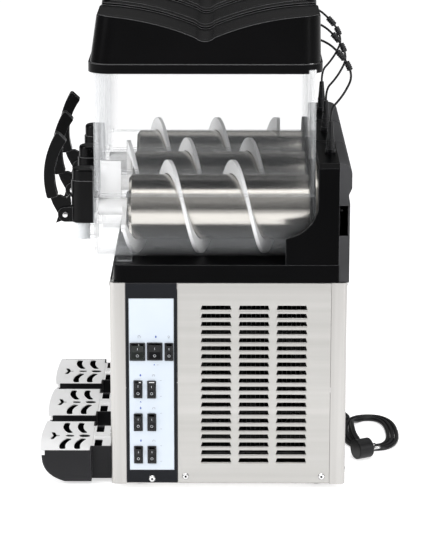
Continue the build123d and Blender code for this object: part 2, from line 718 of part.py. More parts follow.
def auger(phase):
    """White spiral: nose, paddle, one arm and the blade around the drum."""
    nose_back = DRUM_FRONT_Y - DRUM_DOME - NOSE_GAP
    nose_front = BOWL_FRONT_Y + BOWL_WALL + NOSE_END_GAP
    spiral = rod_y(NOSE_R, nose_front, nose_back)
    spiral += radial_bar(0, NOSE_R / 2, AUGER_R, PADDLE_T, nose_back - PADDLE_BACK - PADDLE_LEN,
                         nose_back - PADDLE_BACK)
    spiral += radial_bar(RIBBON_START_ANGLE, NOSE_R / 2, AUGER_R - EDGE_R, ARM_W, nose_back - ARM_T, nose_back)
    spiral += Pos(0, nose_back - ARM_T / 2, 0) * ribbon()
    spiral -= rod_y(SHAFT_R + SHAFT_FIT, SHAFT_FRONT_Y - FIT, nose_back)
    return Pos(0, 0, AXIS_Z) * Rot(0, phase, 0) * spiral


def bowl():
    """Clear bowl: round trough, square tank above, tap pad and spout in front, open at the back."""
    y0, y1 = BOWL_FRONT_Y, BOWL_REAR_Y
    w = BOWL_WALL
    tank = Pos(0, 0, LEDGE_Z) * extrude(plan(BOWL_HALF_W, y0, y1, BOWL_FRONT_R, BOWL_REAR_R),
                                        BOWL_TOP - LEDGE_Z)
    body = tank + rod_y(BOWL_R_OUT, y0, y1, z=AXIS_Z)
    body += box(-BOWL_R_OUT, BOWL_R_OUT, y0, y1, AXIS_Z, LEDGE_Z)
    body += box(-TAP_HALF_W, TAP_HALF_W, TAP_BACK_Y, y0, TAP_BOTTOM, TAP_TOP)
    body += rod_z(SPOUT_R, SPOUT_END, SPOUT_TOP, y=TAP_Y)
    body += box(-SPOUT_WEB_HALF_W, SPOUT_WEB_HALF_W, TAP_Y, y0, PORT_Z - SPOUT_WEB_DROP, TAP_BOTTOM - FIT)
    for side in (-1, 1):
        x0, x1 = sorted((side * BOWL_FOOT_X, side * (BOWL_FOOT_X + BOWL_FOOT_W)))
        foot_y = FRONT + DECK_SETBACK + BOWL_FOOT_BACK
        foot_top = AXIS_Z - (BOWL_R_IN ** 2 - BOWL_FOOT_X ** 2) ** 0.5
        body += box(x0, x1, foot_y, foot_y + BOWL_FOOT_LEN, DECK_TOP + DECK_CLEAR, foot_top)
    inner = plan(BOWL_HALF_W - w, y0 + w, y1 - w, BOWL_FRONT_R - w, BOWL_REAR_R - w)
    body -= Pos(0, 0, LEDGE_Z + w) * extrude(inner, BOWL_TOP - LEDGE_Z)
    body -= rod_y(BOWL_R_IN, y0 + w, y1 + w, z=AXIS_Z)
    body -= box(-BOWL_R_IN, BOWL_R_IN, y0 + w, y1 - w, AXIS_Z, LEDGE_Z + 2 * w)
    body -= rod_z(SPOUT_BORE_R, SPOUT_END, SPOUT_TOP, y=TAP_Y)
    return body - rod_y(PORT_R, TAP_Y, y0 + 2 * w, z=PORT_Z)


# ---------------------------------------------------------------- tap
def tap_housing():
    """Black tap head over the spout: round front, flat back, cap, slot and two ears."""
    y0 = TAP_BACK_Y
    head = rod_z(TAP_HALF_W, TAP_BOTTOM, TAP_TOP, y=TAP_Y)
    head += box(-TAP_HALF_W, TAP_HALF_W, TAP_Y, y0, TAP_BOTTOM, TAP_TOP)
    head -= box(-TAP_HALF_W, TAP_HALF_W, y0, y0 + TAP_HALF_W, TAP_BOTTOM, TAP_TOP)
    cap_half = TAP_HALF_W - TAP_CAP_STEP
    cap = rod_z(cap_half, TAP_TOP, TAP_TOP + TAP_CAP_H, y=TAP_Y)
    cap += box(-cap_half, cap_half, TAP_Y, y0, TAP_TOP, TAP_TOP + TAP_CAP_H)
    head += fillet(cap.faces().sort_by(Axis.Z)[-1].edges(), TAP_CAP_ROUND)
    ear = Pos(PIVOT_Y, PIVOT_Z) * Circle(PIVOT_UP)
    ear += outline((PIVOT_Y, TAP_BOTTOM), (TAP_Y, TAP_BOTTOM), (TAP_Y, TAP_BOTTOM + EAR_ROOT_H),
                   (PIVOT_Y, PIVOT_Z + PIVOT_UP))
    ear_out = SLOT_HALF_W + EAR_T
    head += prism_x(ear, -ear_out, -SLOT_HALF_W) + prism_x(ear, SLOT_HALF_W, ear_out)
    head -= rod_x(PIVOT_R + PIVOT_FIT, -ear_out, ear_out, PIVOT_Y, PIVOT_Z)
    head -= rod_z(SPOUT_R + SPOUT_SEAT_GAP, TAP_BOTTOM, SPOUT_TOP, y=TAP_Y)
    bore_top = TAP_TOP + TAP_CAP_H - TAP_CAP_WALL
    head -= rod_z(SPOUT_BORE_R + TAP_WALL_GAP, TAP_BOTTOM, bore_top, y=TAP_Y)
    slot_low = PIVOT_Z + FINGER_UP - FINGER_T / 2 - SLOT_BELOW
    return head - box(-SLOT_HALF_W, SLOT_HALF_W, TAP_Y - TAP_HALF_W, TAP_Y, slot_low, slot_low + SLOT_H)


def tap_piston():
    """Plunger that closes the port from inside the spout, with a notch for the lever."""
    low = PORT_Z - PORT_R - PISTON_BELOW_PORT
    finger_z = PIVOT_Z + FINGER_UP
    radius = SPOUT_BORE_R - PISTON_FIT
    plunger = rod_z(radius, low, finger_z + PISTON_HEAD, y=TAP_Y)
    notch_back = PIVOT_Y + FINGER_REACH + NOTCH_END_GAP
    return plunger - box(-SLOT_HALF_W, SLOT_HALF_W, TAP_Y - radius, notch_back,
                         finger_z - NOTCH_BELOW, finger_z + NOTCH_ABOVE)


def grip_face():
    """Side outline of the banana-shaped grip, measured from the pivot."""
    front = ThreePointArc((-31, 28), (-36, 78), (-13, 146))
    top = Polyline((-13, 146), (4, 130))
    back = ThreePointArc((4, 130), (-17, 79), (-12, 32))
    bottom = Polyline((-12, 32), (-31, 28))
    return make_face([front, top, back, bottom])


def lever_face():
    """Side outline of the thin arm: up to the grip, round the pivot, into the piston."""
    half_t = FINGER_T / 2
    arm = outline((-27, 32), (-8, 33), (2, 28), (8, 35), (10, 18), (10, FINGER_UP + half_t),
                  (FINGER_REACH, FINGER_UP + half_t), (FINGER_REACH, FINGER_UP - half_t),
                  (8, FINGER_UP - half_t), (7, -7), (-17, -16), (-12, -1), (-22, 18))
    return arm


def handle():
    """Pull handle: wide grip, thin lever between the ears, and its steel pivot pin."""
    grip = prism_x(grip_face(), -HANDLE_W / 2, HANDLE_W / 2)
    grip = fillet(grip.edges().filter_by(Axis.X), GRIP_EDGE_R)
    lever_w = SLOT_HALF_W - EAR_GAP
    lever = prism_x(lever_face(), -lever_w, lever_w) - rod_x(PIVOT_R, -lever_w, lever_w)
    ear_out = SLOT_HALF_W + EAR_T
    pin = rod_x(PIVOT_R, -ear_out - EAR_GAP, ear_out + EAR_GAP)
    for side in (-1, 1):
        x0, x1 = sorted((side * (ear_out + EAR_GAP), side * (ear_out + EAR_GAP + PIVOT_HEAD_T)))
        pin += rod_x(PIVOT_HEAD_R, x0, x1)
    place = Pos(0, PIVOT_Y, PIVOT_Z)
    return [place * (grip + lever), place * pin]


# ---------------------------------------------------------------- lid
def valley_face(drop):
    """Everything under the lid's dipped top, seen from the side, lowered by drop."""
    top = LID_BOTTOM + LID_H - drop
    y0, y1 = LID_FRONT_Y - LID_FLANGE_H, LID_REAR_Y + LID_FLANGE_H
    dip = top - VALLEY_DEPTH
    rim = dip + VALLEY_ROUND
    front_mid = (y0 + VALLEY_Y) / 2
    rear_mid = (y1 + VALLEY_Y) / 2
    line = [
        ThreePointArc((y0, top - VALLEY_END_DROP), (front_mid, top - VALLEY_MID_DROP),
                      (VALLEY_Y - VALLEY_HALF, rim)),
        ThreePointArc((VALLEY_Y - VALLEY_HALF, rim), (VALLEY_Y, dip), (VALLEY_Y + VALLEY_HALF, rim)),
        ThreePointArc((VALLEY_Y + VALLEY_HALF, rim), (rear_mid, top - VALLEY_MID_DROP),
                      (y1, top - VALLEY_END_DROP)),
        Polyline((y1, top - VALLEY_END_DROP), (y1, BOWL_TOP - LID_H), (y0, BOWL_TOP - LID_H),
                 (y0, top - VALLEY_END_DROP)),
    ]
    return make_face(line)


def lid_block(inset):
    """The lid's tapered body as a solid, drawn in by inset on every side."""
    z0 = LID_BOTTOM + LID_FLANGE_H
    half = LID_HALF_W - LID_SIDE_STEP - inset
    y0, y1 = LID_FRONT_Y + LID_STEP + inset, LID_REAR_Y - LID_STEP - inset
    radius = LID_CORNER_R - inset
    low = plan(half, y0, y1, radius, radius)
    high = plan(half - LID_SIDE_TAPER, y0 + LID_FRONT_TAPER, y1 - LID_REAR_TAPER, radius, radius)
    height = LID_H - LID_FLANGE_H
    return loft([Pos(0, 0, z0) * low, Pos(0, 0, z0 + height) * high])


def lid():
    """Black lid: flange around the bowl's rim, tapered hood, and a valley across the top."""
    flange_z = LID_BOTTOM
    radius = LID_CORNER_R
    flange = extrude(plan(LID_HALF_W, LID_FRONT_Y, LID_REAR_Y, radius, radius), LID_FLANGE_H)
    shell = Pos(0, 0, flange_z) * flange + lid_block(0)
    shell &= prism_x(valley_face(0), -LID_HALF_W, LID_HALF_W)
    dish_half = LID_HALF_W - LID_BORDER
    above = box(-dish_half, dish_half, LID_FRONT_Y, LID_REAR_Y, BOWL_TOP, LID_BOTTOM + LID_H)
    shell -= above - prism_x(valley_face(LID_DISH), -dish_half, dish_half)
    inside = lid_block(LID_WALL) & prism_x(valley_face(LID_DISH + LID_WALL), -LID_HALF_W, LID_HALF_W)
    shell -= inside
    w = BOWL_WALL + LID_SEAT_INSET
    throat = plan(BOWL_HALF_W - w, BOWL_FRONT_Y + w, BOWL_REAR_Y - w, BOWL_FRONT_R - w, BOWL_REAR_R - w)
    shell -= Pos(0, 0, flange_z) * extrude(throat, LID_FLANGE_H + FIT)
    seat = plan(BOWL_HALF_W + FIT, BOWL_FRONT_Y - FIT, BOWL_REAR_Y + FIT, BOWL_FRONT_R, BOWL_REAR_R)
    return shell - Pos(0, 0, flange_z) * extrude(seat, LID_SKIRT + LID_REST_GAP)


# ---------------------------------------------------------------- drip trays
def tray_plan(half, front, neck_gap=0.0):
    """The tray's body seen from above: straight sides, rounded corners and a bowed front."""
    side_y = front + TRAY_BULGE
    rear_y = TRAY_NECK_Y - neck_gap
    sides = Polyline((half, side_y), (half, rear_y), (-half, rear_y), (-half, side_y))
    bow = ThreePointArc((-half, side_y), (0, front), (half, side_y))
    face = make_face([sides, bow])
    return fillet([v for v in face.vertices() if v.Y < rear_y - TRAY_CORNER_R], TRAY_CORNER_R)


def neck_plan(inset):
    """The neck that reaches back to the cabinet, running on into the tray's body."""
    half = TRAY_NECK_HALF_W - inset
    y1 = FRONT - TRAY_GAP - inset
    return outline((-half, TRAY_SHOULDER_Y), (half, TRAY_SHOULDER_Y), (half, y1), (-half, y1))


def tray_block(inset, floor):
    """The tray's outer or inner form, from floor up to the grille's seat."""
    front = TRAY_FRONT_Y + inset
    half = TRAY_HALF_W - inset
    low = Pos(0, 0, floor) * tray_plan(half - TRAY_DRAFT, front + TRAY_TAPER, inset)
    belly = Pos(0, 0, floor + TRAY_BELLY_H) * tray_plan(half - TRAY_BELLY_DRAFT, front + TRAY_BELLY_TAPER, inset)
    high = Pos(0, 0, TRAY_TOP) * tray_plan(half, front, inset)
    neck = Pos(0, 0, floor) * extrude(neck_plan(inset), TRAY_TOP - floor)
    behind_front = box(-half, half, TRAY_SHOULDER_Y + TRAY_TAPER, FRONT, floor, TRAY_TOP)
    return loft([low, belly, high]) + (neck & behind_front)


def tray_rim():
    """The raised edge beside and behind the grille, open at the bowed front."""
    ring = tray_plan(TRAY_HALF_W, TRAY_FRONT_Y) + neck_plan(0)
    seat = tray_plan(TRAY_HALF_W - TRAY_RIM, TRAY_FRONT_Y, TRAY_RIM) + neck_plan(TRAY_RIM)
    rim = extrude(ring - seat, GRILLE_T)
    back = box(-TRAY_HALF_W, TRAY_HALF_W, TRAY_SHOULDER_Y + GRILLE_GAP, FRONT, 0, GRILLE_T)
    return Pos(0, 0, TRAY_TOP) * (rim & back)


def drip_tray():
    """Black tray with a sloping bowed front, a rim and a narrower neck at the cabinet."""
    return tray_block(0, TRAY_BOTTOM) - tray_block(TRAY_WALL, TRAY_BOTTOM + TRAY_WALL) + tray_rim()


def grille_plan():
    """The grille's outline: inside the rim, and over the whole front edge."""
    inset = TRAY_RIM + GRILLE_GAP
    over = tray_plan(TRAY_HALF_W + GRILLE_OVERHANG, TRAY_FRONT_Y - GRILLE_OVERHANG)
    depth = TRAY_SHOULDER_Y - TRAY_FRONT_Y + GRILLE_OVERHANG
    ahead = Pos(0, TRAY_SHOULDER_Y - depth / 2) * Rectangle(3 * TRAY_HALF_W, depth)
    seated = tray_plan(TRAY_HALF_W - inset, TRAY_FRONT_Y, inset)
    return seated + neck_plan(inset) + (over & ahead)


def grille_holes():
    """Two rows of curved slots, two ovals, a forked hole and two windows on the neck."""
    holes = []
    for row in range(2):
        for side in (-1, 1):
            points = [(side * x, TRAY_FRONT_Y + y + row * CURVE_PITCH) for x, y in (CURVE_IN, CURVE_MID, CURVE_OUT)]
            holes.append(SlotArc(ThreePointArc(*points), CURVE_W))
    for y, length, width in OVALS:
        holes.append(Pos(0, TRAY_FRONT_Y + y) * Rot(0, 0, 90) * SlotOverall(length, width))
    fork = (0, TRAY_FRONT_Y + FORK_Y)
    for dx, dy in ((0, FORK_TIP), FORK_REACH, (-FORK_REACH[0], FORK_REACH[1])):
        middle = (fork[0] + dx / 2, fork[1] + dy / 2)
        turn = degrees(atan2(dy, dx))
        holes.append(Pos(*middle) * Rot(0, 0, turn) * SlotOverall(hypot(dx, dy) + FORK_W, FORK_W))
    for side in (-1, 1):
        window = Pos(side * WINDOW_X, FRONT - WINDOW_AHEAD)
        holes.append(window * RectangleRounded(WINDOW_W, WINDOW_LEN, EDGE_R))
    return holes


def drip_grille():
    """White grille in the tray's rim, with a rib, a groove and a lip over the bowed front."""
    plate = extrude(grille_plan(), GRILLE_T)
    for hole in grille_holes():
        plate -= extrude(hole, GRILLE_T)
    groove_y = FRONT - RIB_AHEAD
    plate -= box(-TRAY_HALF_W, TRAY_HALF_W, groove_y - GROOVE_W, groove_y, GRILLE_T - GROOVE_DEPTH, GRILLE_T)
    plate += box(-RIB_W / 2, RIB_W / 2, groove_y, FRONT - RIB_BACK, GRILLE_T, GRILLE_T + RIB_T)
    skirt = tray_plan(TRAY_HALF_W + GRILLE_OVERHANG, TRAY_FRONT_Y - GRILLE_OVERHANG)
    skirt -= tray_plan(TRAY_HALF_W + LIP_GAP, TRAY_FRONT_Y - LIP_GAP)
    band = Pos(0, 0, -GRILLE_LIP) * extrude(skirt, GRILLE_LIP)
    reach = 2 * TRAY_HALF_W
    band &= box(-reach, reach, TRAY_FRONT_Y - TRAY_BULGE, TRAY_SHOULDER_Y, -GRILLE_LIP, 0)
    return Pos(0, 0, TRAY_TOP) * (plate + band)


# ---------------------------------------------------------------- refrigeration
def compressor():
    """Hermetic compressor on a base plate."""
    base_z = BODY_BOTTOM + PAN_T
    dome = Cylinder(COMPRESSOR_R, COMPRESSOR_H)
    dome = fillet(dome.edges().filter_by(GeomType.CIRCLE), COMPRESSOR_ROUND)
    dome = Pos(0, 0, base_z + COMPRESSOR_BASE + COMPRESSOR_H / 2 - EDGE_R) * dome
    plate = box(-COMPRESSOR_R, COMPRESSOR_R, -COMPRESSOR_R, COMPRESSOR_R, base_z, base_z + COMPRESSOR_BASE)
    return Pos(COMPRESSOR_X, COMPRESSOR_Y, 0) * (dome + plate)


def condenser():
    """Finned coil behind the right-hand louvres, on a foot plate."""
    y0, y1 = CONDENSER_Y - CONDENSER_W / 2, CONDENSER_Y + CONDENSER_W / 2
    z1 = CONDENSER_Z + CONDENSER_H
    x0, x1 = CONDENSER_X0, CONDENSER_X1
    coil = box(x0, x1, y0, y1, CONDENSER_Z - END_PLATE_T, CONDENSER_Z)
    coil += box(x0, x1, y0, y0 + END_PLATE_T, BODY_BOTTOM + PAN_T, z1)
    coil += box(x0, x1, y1 - END_PLATE_T, y1, BODY_BOTTOM + PAN_T, z1)
    pitch = CONDENSER_W / (CONDENSER_FINS + 1)
    for fin in range(CONDENSER_FINS):
        y = y0 + (fin + 1) * pitch
        coil += box(x0, x1, y - FIN_T / 2, y + FIN_T / 2, CONDENSER_Z, z1)
    tube_pitch = CONDENSER_H / CONDENSER_TUBES
    for tube in range(CONDENSER_TUBES):
        z = CONDENSER_Z + (tube + 0.5) * tube_pitch
        coil += rod_y(CONDENSER_TUBE_R, y0, y1, (x0 + x1) / 2, z)
    return coil


def fan_shroud():
    """Square duct with a round mouth, and the fan motor on its stand."""
    half = CONDENSER_W / 2
    x0 = CONDENSER_X0 - SHROUD_T
    duct = box(x0, CONDENSER_X0, CONDENSER_Y - half, CONDENSER_Y + half, CONDENSER_Z, CONDENSER_Z + 2 * half)
    duct -= rod_x(FAN_R + FAN_GAP, x0, CONDENSER_X0, CONDENSER_Y, FAN_Z)
    motor_x1 = x0 - FAN_GAP
    motor = rod_x(FAN_MOTOR_R, motor_x1 - FAN_MOTOR_LEN, motor_x1, CONDENSER_Y, FAN_Z)
    motor += box(motor_x1 - FAN_MOTOR_LEN, motor_x1, CONDENSER_Y - STAND_HALF_W, CONDENSER_Y + STAND_HALF_W,
                 BODY_BOTTOM + PAN_T, FAN_Z)
    motor -= rod_x(FAN_SHAFT_R + SHAFT_FIT, motor_x1 - SHAFT_GRIP, motor_x1, CONDENSER_Y, FAN_Z)
    return [duct, motor]


def fan():
    """Axial fan with pitched blades and its shaft."""
    x0 = CONDENSER_X0 - SHROUD_T + FAN_GAP
    x1 = CONDENSER_X0 - FAN_GAP
    middle = (x0 + x1) / 2
    rotor = rod_x(FAN_HUB_R, x0, x1)
    for blade in range(FAN_BLADES):
        vane = box(-FAN_BLADE_W / 2, FAN_BLADE_W / 2, -FAN_BLADE_T / 2, FAN_BLADE_T / 2, FAN_HUB_R / 2, FAN_R)
        turn = Rot(360 / FAN_BLADES * blade, 0, 0)
        rotor += turn * Pos(middle, 0, 0) * Rot(0, 0, FAN_BLADE_ANGLE) * vane
    rotor &= rod_x(FAN_R, x0, x1)
    rotor += rod_x(FAN_SHAFT_R, CONDENSER_X0 - SHROUD_T - FAN_GAP - SHAFT_GRIP + FIT, x0)
    return Pos(0, CONDENSER_Y, FAN_Z) * rotor


# ---------------------------------------------------------------- cables
def light_socket():
    """Upright cable coupling on a hood: collar, body and a slim ribbed neck."""
    coupling = rod_z(LIGHT_COLLAR_R, HOOD_TOP, HOOD_TOP + LIGHT_COLLAR_H, y=LIGHT_SOCKET_Y)
    coupling += rod_z(LIGHT_SOCKET_R, HOOD_TOP, LIGHT_NECK_Z, y=LIGHT_SOCKET_Y)
    neck_h = HOOD_TOP + LIGHT_SOCKET_H - LIGHT_NECK_Z
    neck = Cone(LIGHT_SOCKET_R, LIGHT_CABLE_D, neck_h)
    return coupling + Pos(0, LIGHT_SOCKET_Y, LIGHT_NECK_Z + neck_h / 2) * neck


def mains_gland():
    """Elbow strain relief on the rear panel that turns the mains lead down."""
    y = REAR + GLAND_OUT
    elbow = rod_y(GLAND_R, REAR - GLAND_IN, y, GLAND_X, GLAND_Z)
    elbow += Pos(GLAND_X, y, GLAND_Z) * Sphere(GLAND_R)
    neck_h = GLAND_Z - MAINS_ROUTE[0][2]
    neck = Cone(GLAND_NECK_R, GLAND_R, neck_h)
    return elbow + Pos(GLAND_X, y, GLAND_Z - neck_h / 2) * neck


def bend_radii(route):
    """The largest arc at each corner of a route that its two runs leave room for."""
    points = [Vector(*point) for point in route]
    radii = []
    for before, corner, after in zip(points, points[1:], points[2:]):
        arriving, leaving = corner - before, after - corner
        turn = radians(arriving.get_angle(leaving))
        radii.append(ARC_SHARE * min(arriving.length, leaving.length) / tan(turn / 2))
    return radii


def cord_tube(name, route, diameter):
    """A round cord along straight runs and tangent arcs; prints its bends and volume."""
    radii = bend_radii(route)
    path = FilletPolyline(*route, radius=radii)
    start = Plane(origin=path @ 0, z_dir=path % 0)
    tube = sweep(start * Circle(diameter / 2), path=path)
    expected = path.length * pi * diameter ** 2 / 4
    print(name, "length", round(path.length), "radii", [round(r) for r in radii],
          "volume share", round(tube.volume / expected, 4))
    return tube


def coil_plan(inset):
    """The coil's outline from above: flat along the cabinet, rounder behind."""
    half = COIL_SIZE[0] / 2 - inset
    low = REAR + COIL_BEHIND + inset
    high = low + COIL_SIZE[1] - 2 * inset
    return plan(half, low, high, COIL_FRONT_R - inset, COIL_REAR_R - inset)


def cord_coil():
    """Outer shape of the coiled mains lead on the floor."""
    return Pos(COIL_X, 0, 0) * extrude(coil_plan(0) - coil_plan(COIL_BAND), COIL_H)


def mains_plug():
    """Round two-pin plug lying on the floor, its lead leaving sideways to the coil."""
    body = rod_x(PLUG_R, -PLUG_LEN / 2, PLUG_LEN / 2)
    body = fillet(body.edges().filter_by(GeomType.CIRCLE), EDGE_R)
    for side in (-1, 1):
        body += rod_x(PLUG_PIN_R, PLUG_LEN / 2 - EDGE_R, PLUG_LEN / 2 + PLUG_PIN_LEN,
                      y=side * PLUG_PIN_PITCH / 2)
    plug_y = REAR + PLUG_BEHIND
    plug = Pos(PLUG_X, plug_y, PLUG_R) * Rot(0, 0, PLUG_HEADING) * body
    relief_end = COIL_X + COIL_SIZE[0] / 2 + PLUG_RELIEF_GAP
    return plug + rod_x(PLUG_RELIEF_R, relief_end, PLUG_X, plug_y, COIL_H / 2)


# ---------------------------------------------------------------- write every node
def main():
    os.makedirs("parts", exist_ok=True)
    save("base_frame", base_frame())
    save("side_panel_right", side_panel(1))
    save("side_panel_left", side_panel(-1))
    save("front_panel", front_panel())
    save("rear_panel", rear_panel())
    save("feet", *feet())
    save("screws", *screws())
    save("control_panel", control_panel())
    for place in rocker_places():
        save(place[0], rocker(*place))
    save("deck", deck())
    save("motor_hoods", *[at_unit(name, motor_hood()) for name in UNITS])
    save("rear_covers", *[at_unit(name, rear_cover()) for name in UNITS])
    save("evaporators", *[at_unit(name, evaporator()) for name in UNITS])
    save("bowl_seals", *[at_unit(name, bowl_seal()) for name in UNITS])
    save("gearmotors", *[at_unit(name, gearmotor()) for name in UNITS])
    for name in UNITS:
        save(f"drive_shaft_{name}", at_unit(name, drive_shaft()))
        save(f"auger_{name}", at_unit(name, auger(AUGER_PHASES[name])))
        save(f"bowl_{name}", at_unit(name, bowl()))
        save(f"tap_housing_{name}", at_unit(name, tap_housing()))
        save(f"tap_piston_{name}", at_unit(name, tap_piston()))
        save(f"tap_handle_{name}", *[at_unit(name, piece) for piece in handle()])
        save(f"lid_{name}", at_unit(name, lid()))
        save(f"drip_tray_{name}", at_unit(name, drip_tray()))
        save(f"drip_grille_{name}", at_unit(name, drip_grille()))
        route = [(unit_x(name) + x, HOOD_BACK + y, HOOD_TOP + z) for x, y, z in LIGHT_ROUTE]
        save(f"light_cable_{name}", cord_tube(f"light_cable_{name}", route, LIGHT_CABLE_D))
    save("compressor", compressor())
    save("condenser", condenser(), *fan_shroud())
    save("fan", fan())
    save("cable_glands", mains_gland(), *[at_unit(name, light_socket()) for name in UNITS])
    mains_route = [(x, REAR + y, z) for x, y, z in MAINS_ROUTE]
    save("mains_cord", cord_tube("mains_cord", mains_route, MAINS_D))
    save("cord_coil", cord_coil())
    save("mains_plug", mains_plug())


main()
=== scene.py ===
import json
import math
import bpy
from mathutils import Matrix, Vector

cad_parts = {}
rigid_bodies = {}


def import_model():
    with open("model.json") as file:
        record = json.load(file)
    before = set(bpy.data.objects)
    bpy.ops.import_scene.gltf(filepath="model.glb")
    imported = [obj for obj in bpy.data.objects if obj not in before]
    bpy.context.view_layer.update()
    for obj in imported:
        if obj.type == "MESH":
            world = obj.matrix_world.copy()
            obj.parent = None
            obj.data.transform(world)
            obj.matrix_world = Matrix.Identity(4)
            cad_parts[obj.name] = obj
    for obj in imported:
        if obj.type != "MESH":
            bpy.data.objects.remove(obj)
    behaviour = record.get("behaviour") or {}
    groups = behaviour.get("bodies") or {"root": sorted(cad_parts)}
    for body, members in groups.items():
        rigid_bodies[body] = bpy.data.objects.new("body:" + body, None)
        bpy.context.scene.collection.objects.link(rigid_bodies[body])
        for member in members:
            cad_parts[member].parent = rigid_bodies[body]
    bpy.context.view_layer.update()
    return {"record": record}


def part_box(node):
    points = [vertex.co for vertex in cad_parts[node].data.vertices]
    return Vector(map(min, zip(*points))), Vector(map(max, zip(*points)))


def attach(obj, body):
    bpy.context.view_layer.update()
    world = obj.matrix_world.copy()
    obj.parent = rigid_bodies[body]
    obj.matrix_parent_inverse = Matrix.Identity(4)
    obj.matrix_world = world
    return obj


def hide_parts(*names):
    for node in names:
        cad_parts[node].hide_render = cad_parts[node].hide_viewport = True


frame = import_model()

SCENE = bpy.context.scene
UNITS = {"left": -0.2, "mid": 0.0, "right": 0.2}

# ---------------------------------------------------------------- camera, floor and light
CAMERA_PLACE = (4.276, -0.0045, 1.408)
CAMERA_PITCH = 0.2486
CAMERA_YAW = -0.0059
CAMERA_LENS = 203.8
WORLD_LOW = 0.04
WORLD_HIGH = 0.56
WORLD_RISE = (0.1, 0.8)
WORLD_SEEN = 1.0
FLOOR_HALF = 12.0
FLOOR_GLOW = 0.62
SEE_THROUGH = 48
SOFTBOXES = [
    ("softbox_top", (0.3, 0.0, 2.5), (0.0, 0.0, 0.4), (2.0, 2.0), 34.0),
    ("softbox_front", (1.6, -2.9, 2.0), (0.1, -0.2, 0.3), (0.8, 1.5), 66.0),
    ("softbox_rear", (2.3, 2.8, 1.5), (0.0, 0.1, 0.6), (0.5, 1.5), 42.0),
]


def add_camera():
    """A long lens looking a little down on the side with the switches."""
    data = bpy.data.cameras.new("camera")
    data.sensor_fit = "HORIZONTAL"
    data.sensor_width = 36.0
    data.lens = CAMERA_LENS
    camera = bpy.data.objects.new("camera", data)
    SCENE.collection.objects.link(camera)
    camera.location = CAMERA_PLACE
    level = math.cos(CAMERA_PITCH)
    forward = Vector((-math.cos(CAMERA_YAW) * level, math.sin(CAMERA_YAW) * level, -math.sin(CAMERA_PITCH)))
    camera.rotation_euler = forward.to_track_quat("-Z", "Y").to_euler()
    SCENE.camera = camera


def area_light(name, place, target, size, power):
    """One rectangular soft light, turned towards a target."""
    data = bpy.data.lights.new(name, "AREA")
    data.shape = "RECTANGLE"
    data.size, data.size_y = size
    data.energy = power
    light = bpy.data.objects.new(name, data)
    SCENE.collection.objects.link(light)
    light.location = place
    light.rotation_euler = (Vector(target) - Vector(place)).to_track_quat("-Z", "Y").to_euler()


def add_world():
    """White behind the object; the light on it grows from the horizon up."""
    world = bpy.data.worlds.new("studio")
    world.use_nodes = True
    tree = world.node_tree
    background = tree.nodes["Background"]
    background.inputs["Color"].default_value = (1.0, 1.0, 1.0, 1.0)
    where = tree.nodes.new("ShaderNodeTexCoord")
    split = tree.nodes.new("ShaderNodeSeparateXYZ")
    height = tree.nodes.new("ShaderNodeMapRange")
    height.inputs["From Min"].default_value, height.inputs["From Max"].default_value = WORLD_RISE
    height.inputs["To Min"].default_value = WORLD_LOW
    height.inputs["To Max"].default_value = WORLD_HIGH
    tree.links.new(where.outputs["Generated"], split.inputs["Vector"])
    tree.links.new(split.outputs["Z"], height.inputs["Value"])
    seen = tree.nodes.new("ShaderNodeLightPath")
    strength = tree.nodes.new("ShaderNodeMapRange")
    strength.inputs["To Max"].default_value = WORLD_SEEN
    tree.links.new(seen.outputs["Is Camera Ray"], strength.inputs["Value"])
    tree.links.new(height.outputs["Result"], strength.inputs["To Min"])
    tree.links.new(strength.outputs["Result"], background.inputs["Strength"])
    SCENE.world = world
    SCENE.view_settings.view_transform = "Standard"
    SCENE.cycles.transparent_max_bounces = SEE_THROUGH


def add_light():
    """The world's light and the soft boxes."""
    add_world()
    for name, place, target, size, power in SOFTBOXES:
        area_light(name, place, target, size, power)


def add_floor():
    """A wide white floor that glows a little, so that it shows no edge."""
    mesh = bpy.data.meshes.new("floor")
    half = FLOOR_HALF
    corners = [(-half, -half, 0.0), (half, -half, 0.0), (half, half, 0.0), (-half, half, 0.0)]
    mesh.from_pydata(corners, [], [(0, 1, 2, 3)])
    floor = bpy.data.objects.new("floor", mesh)
    SCENE.collection.objects.link(floor)
    surface = bpy.data.materials.new("floor_white")
    surface.use_nodes = True
    shader = surface.node_tree.nodes["Principled BSDF"]
    shader.inputs["Base Color"].default_value = (0.9, 0.9, 0.91, 1.0)
    shader.inputs["Roughness"].default_value = 0.9
    shader.inputs["Emission Color"].default_value = (1.0, 1.0, 1.0, 1.0)
    shader.inputs["Emission Strength"].default_value = FLOOR_GLOW
    mesh.materials.append(surface)


# ---------------------------------------------------------------- materials
def new_material(name, color, roughness, metallic=0.0, specular=0.5):
    """A principled material, its node tree and its shader."""
    surface = bpy.data.materials.new(name)
    surface.use_nodes = True
    tree = surface.node_tree
    shader = tree.nodes["Principled BSDF"]
    shader.inputs["Base Color"].default_value = (*color, 1.0)
    shader.inputs["Roughness"].default_value = roughness
    shader.inputs["Metallic"].default_value = metallic
    shader.inputs["Specular IOR Level"].default_value = specular
    return surface, tree, shader


def noise(tree, scale, stretch=(1.0, 1.0, 1.0), detail=4.0):
    """Noise over the object's own coordinates, stretched along an axis."""
    where = tree.nodes.new("ShaderNodeTexCoord")
    mapping = tree.nodes.new("ShaderNodeMapping")
    mapping.inputs["Scale"].default_value = stretch
    texture = tree.nodes.new("ShaderNodeTexNoise")
    texture.inputs["Scale"].default_value = scale
    texture.inputs["Detail"].default_value = detail
    tree.links.new(where.outputs["Object"], mapping.inputs["Vector"])
    tree.links.new(mapping.outputs["Vector"], texture.inputs["Vector"])
    return texture.outputs["Fac"]


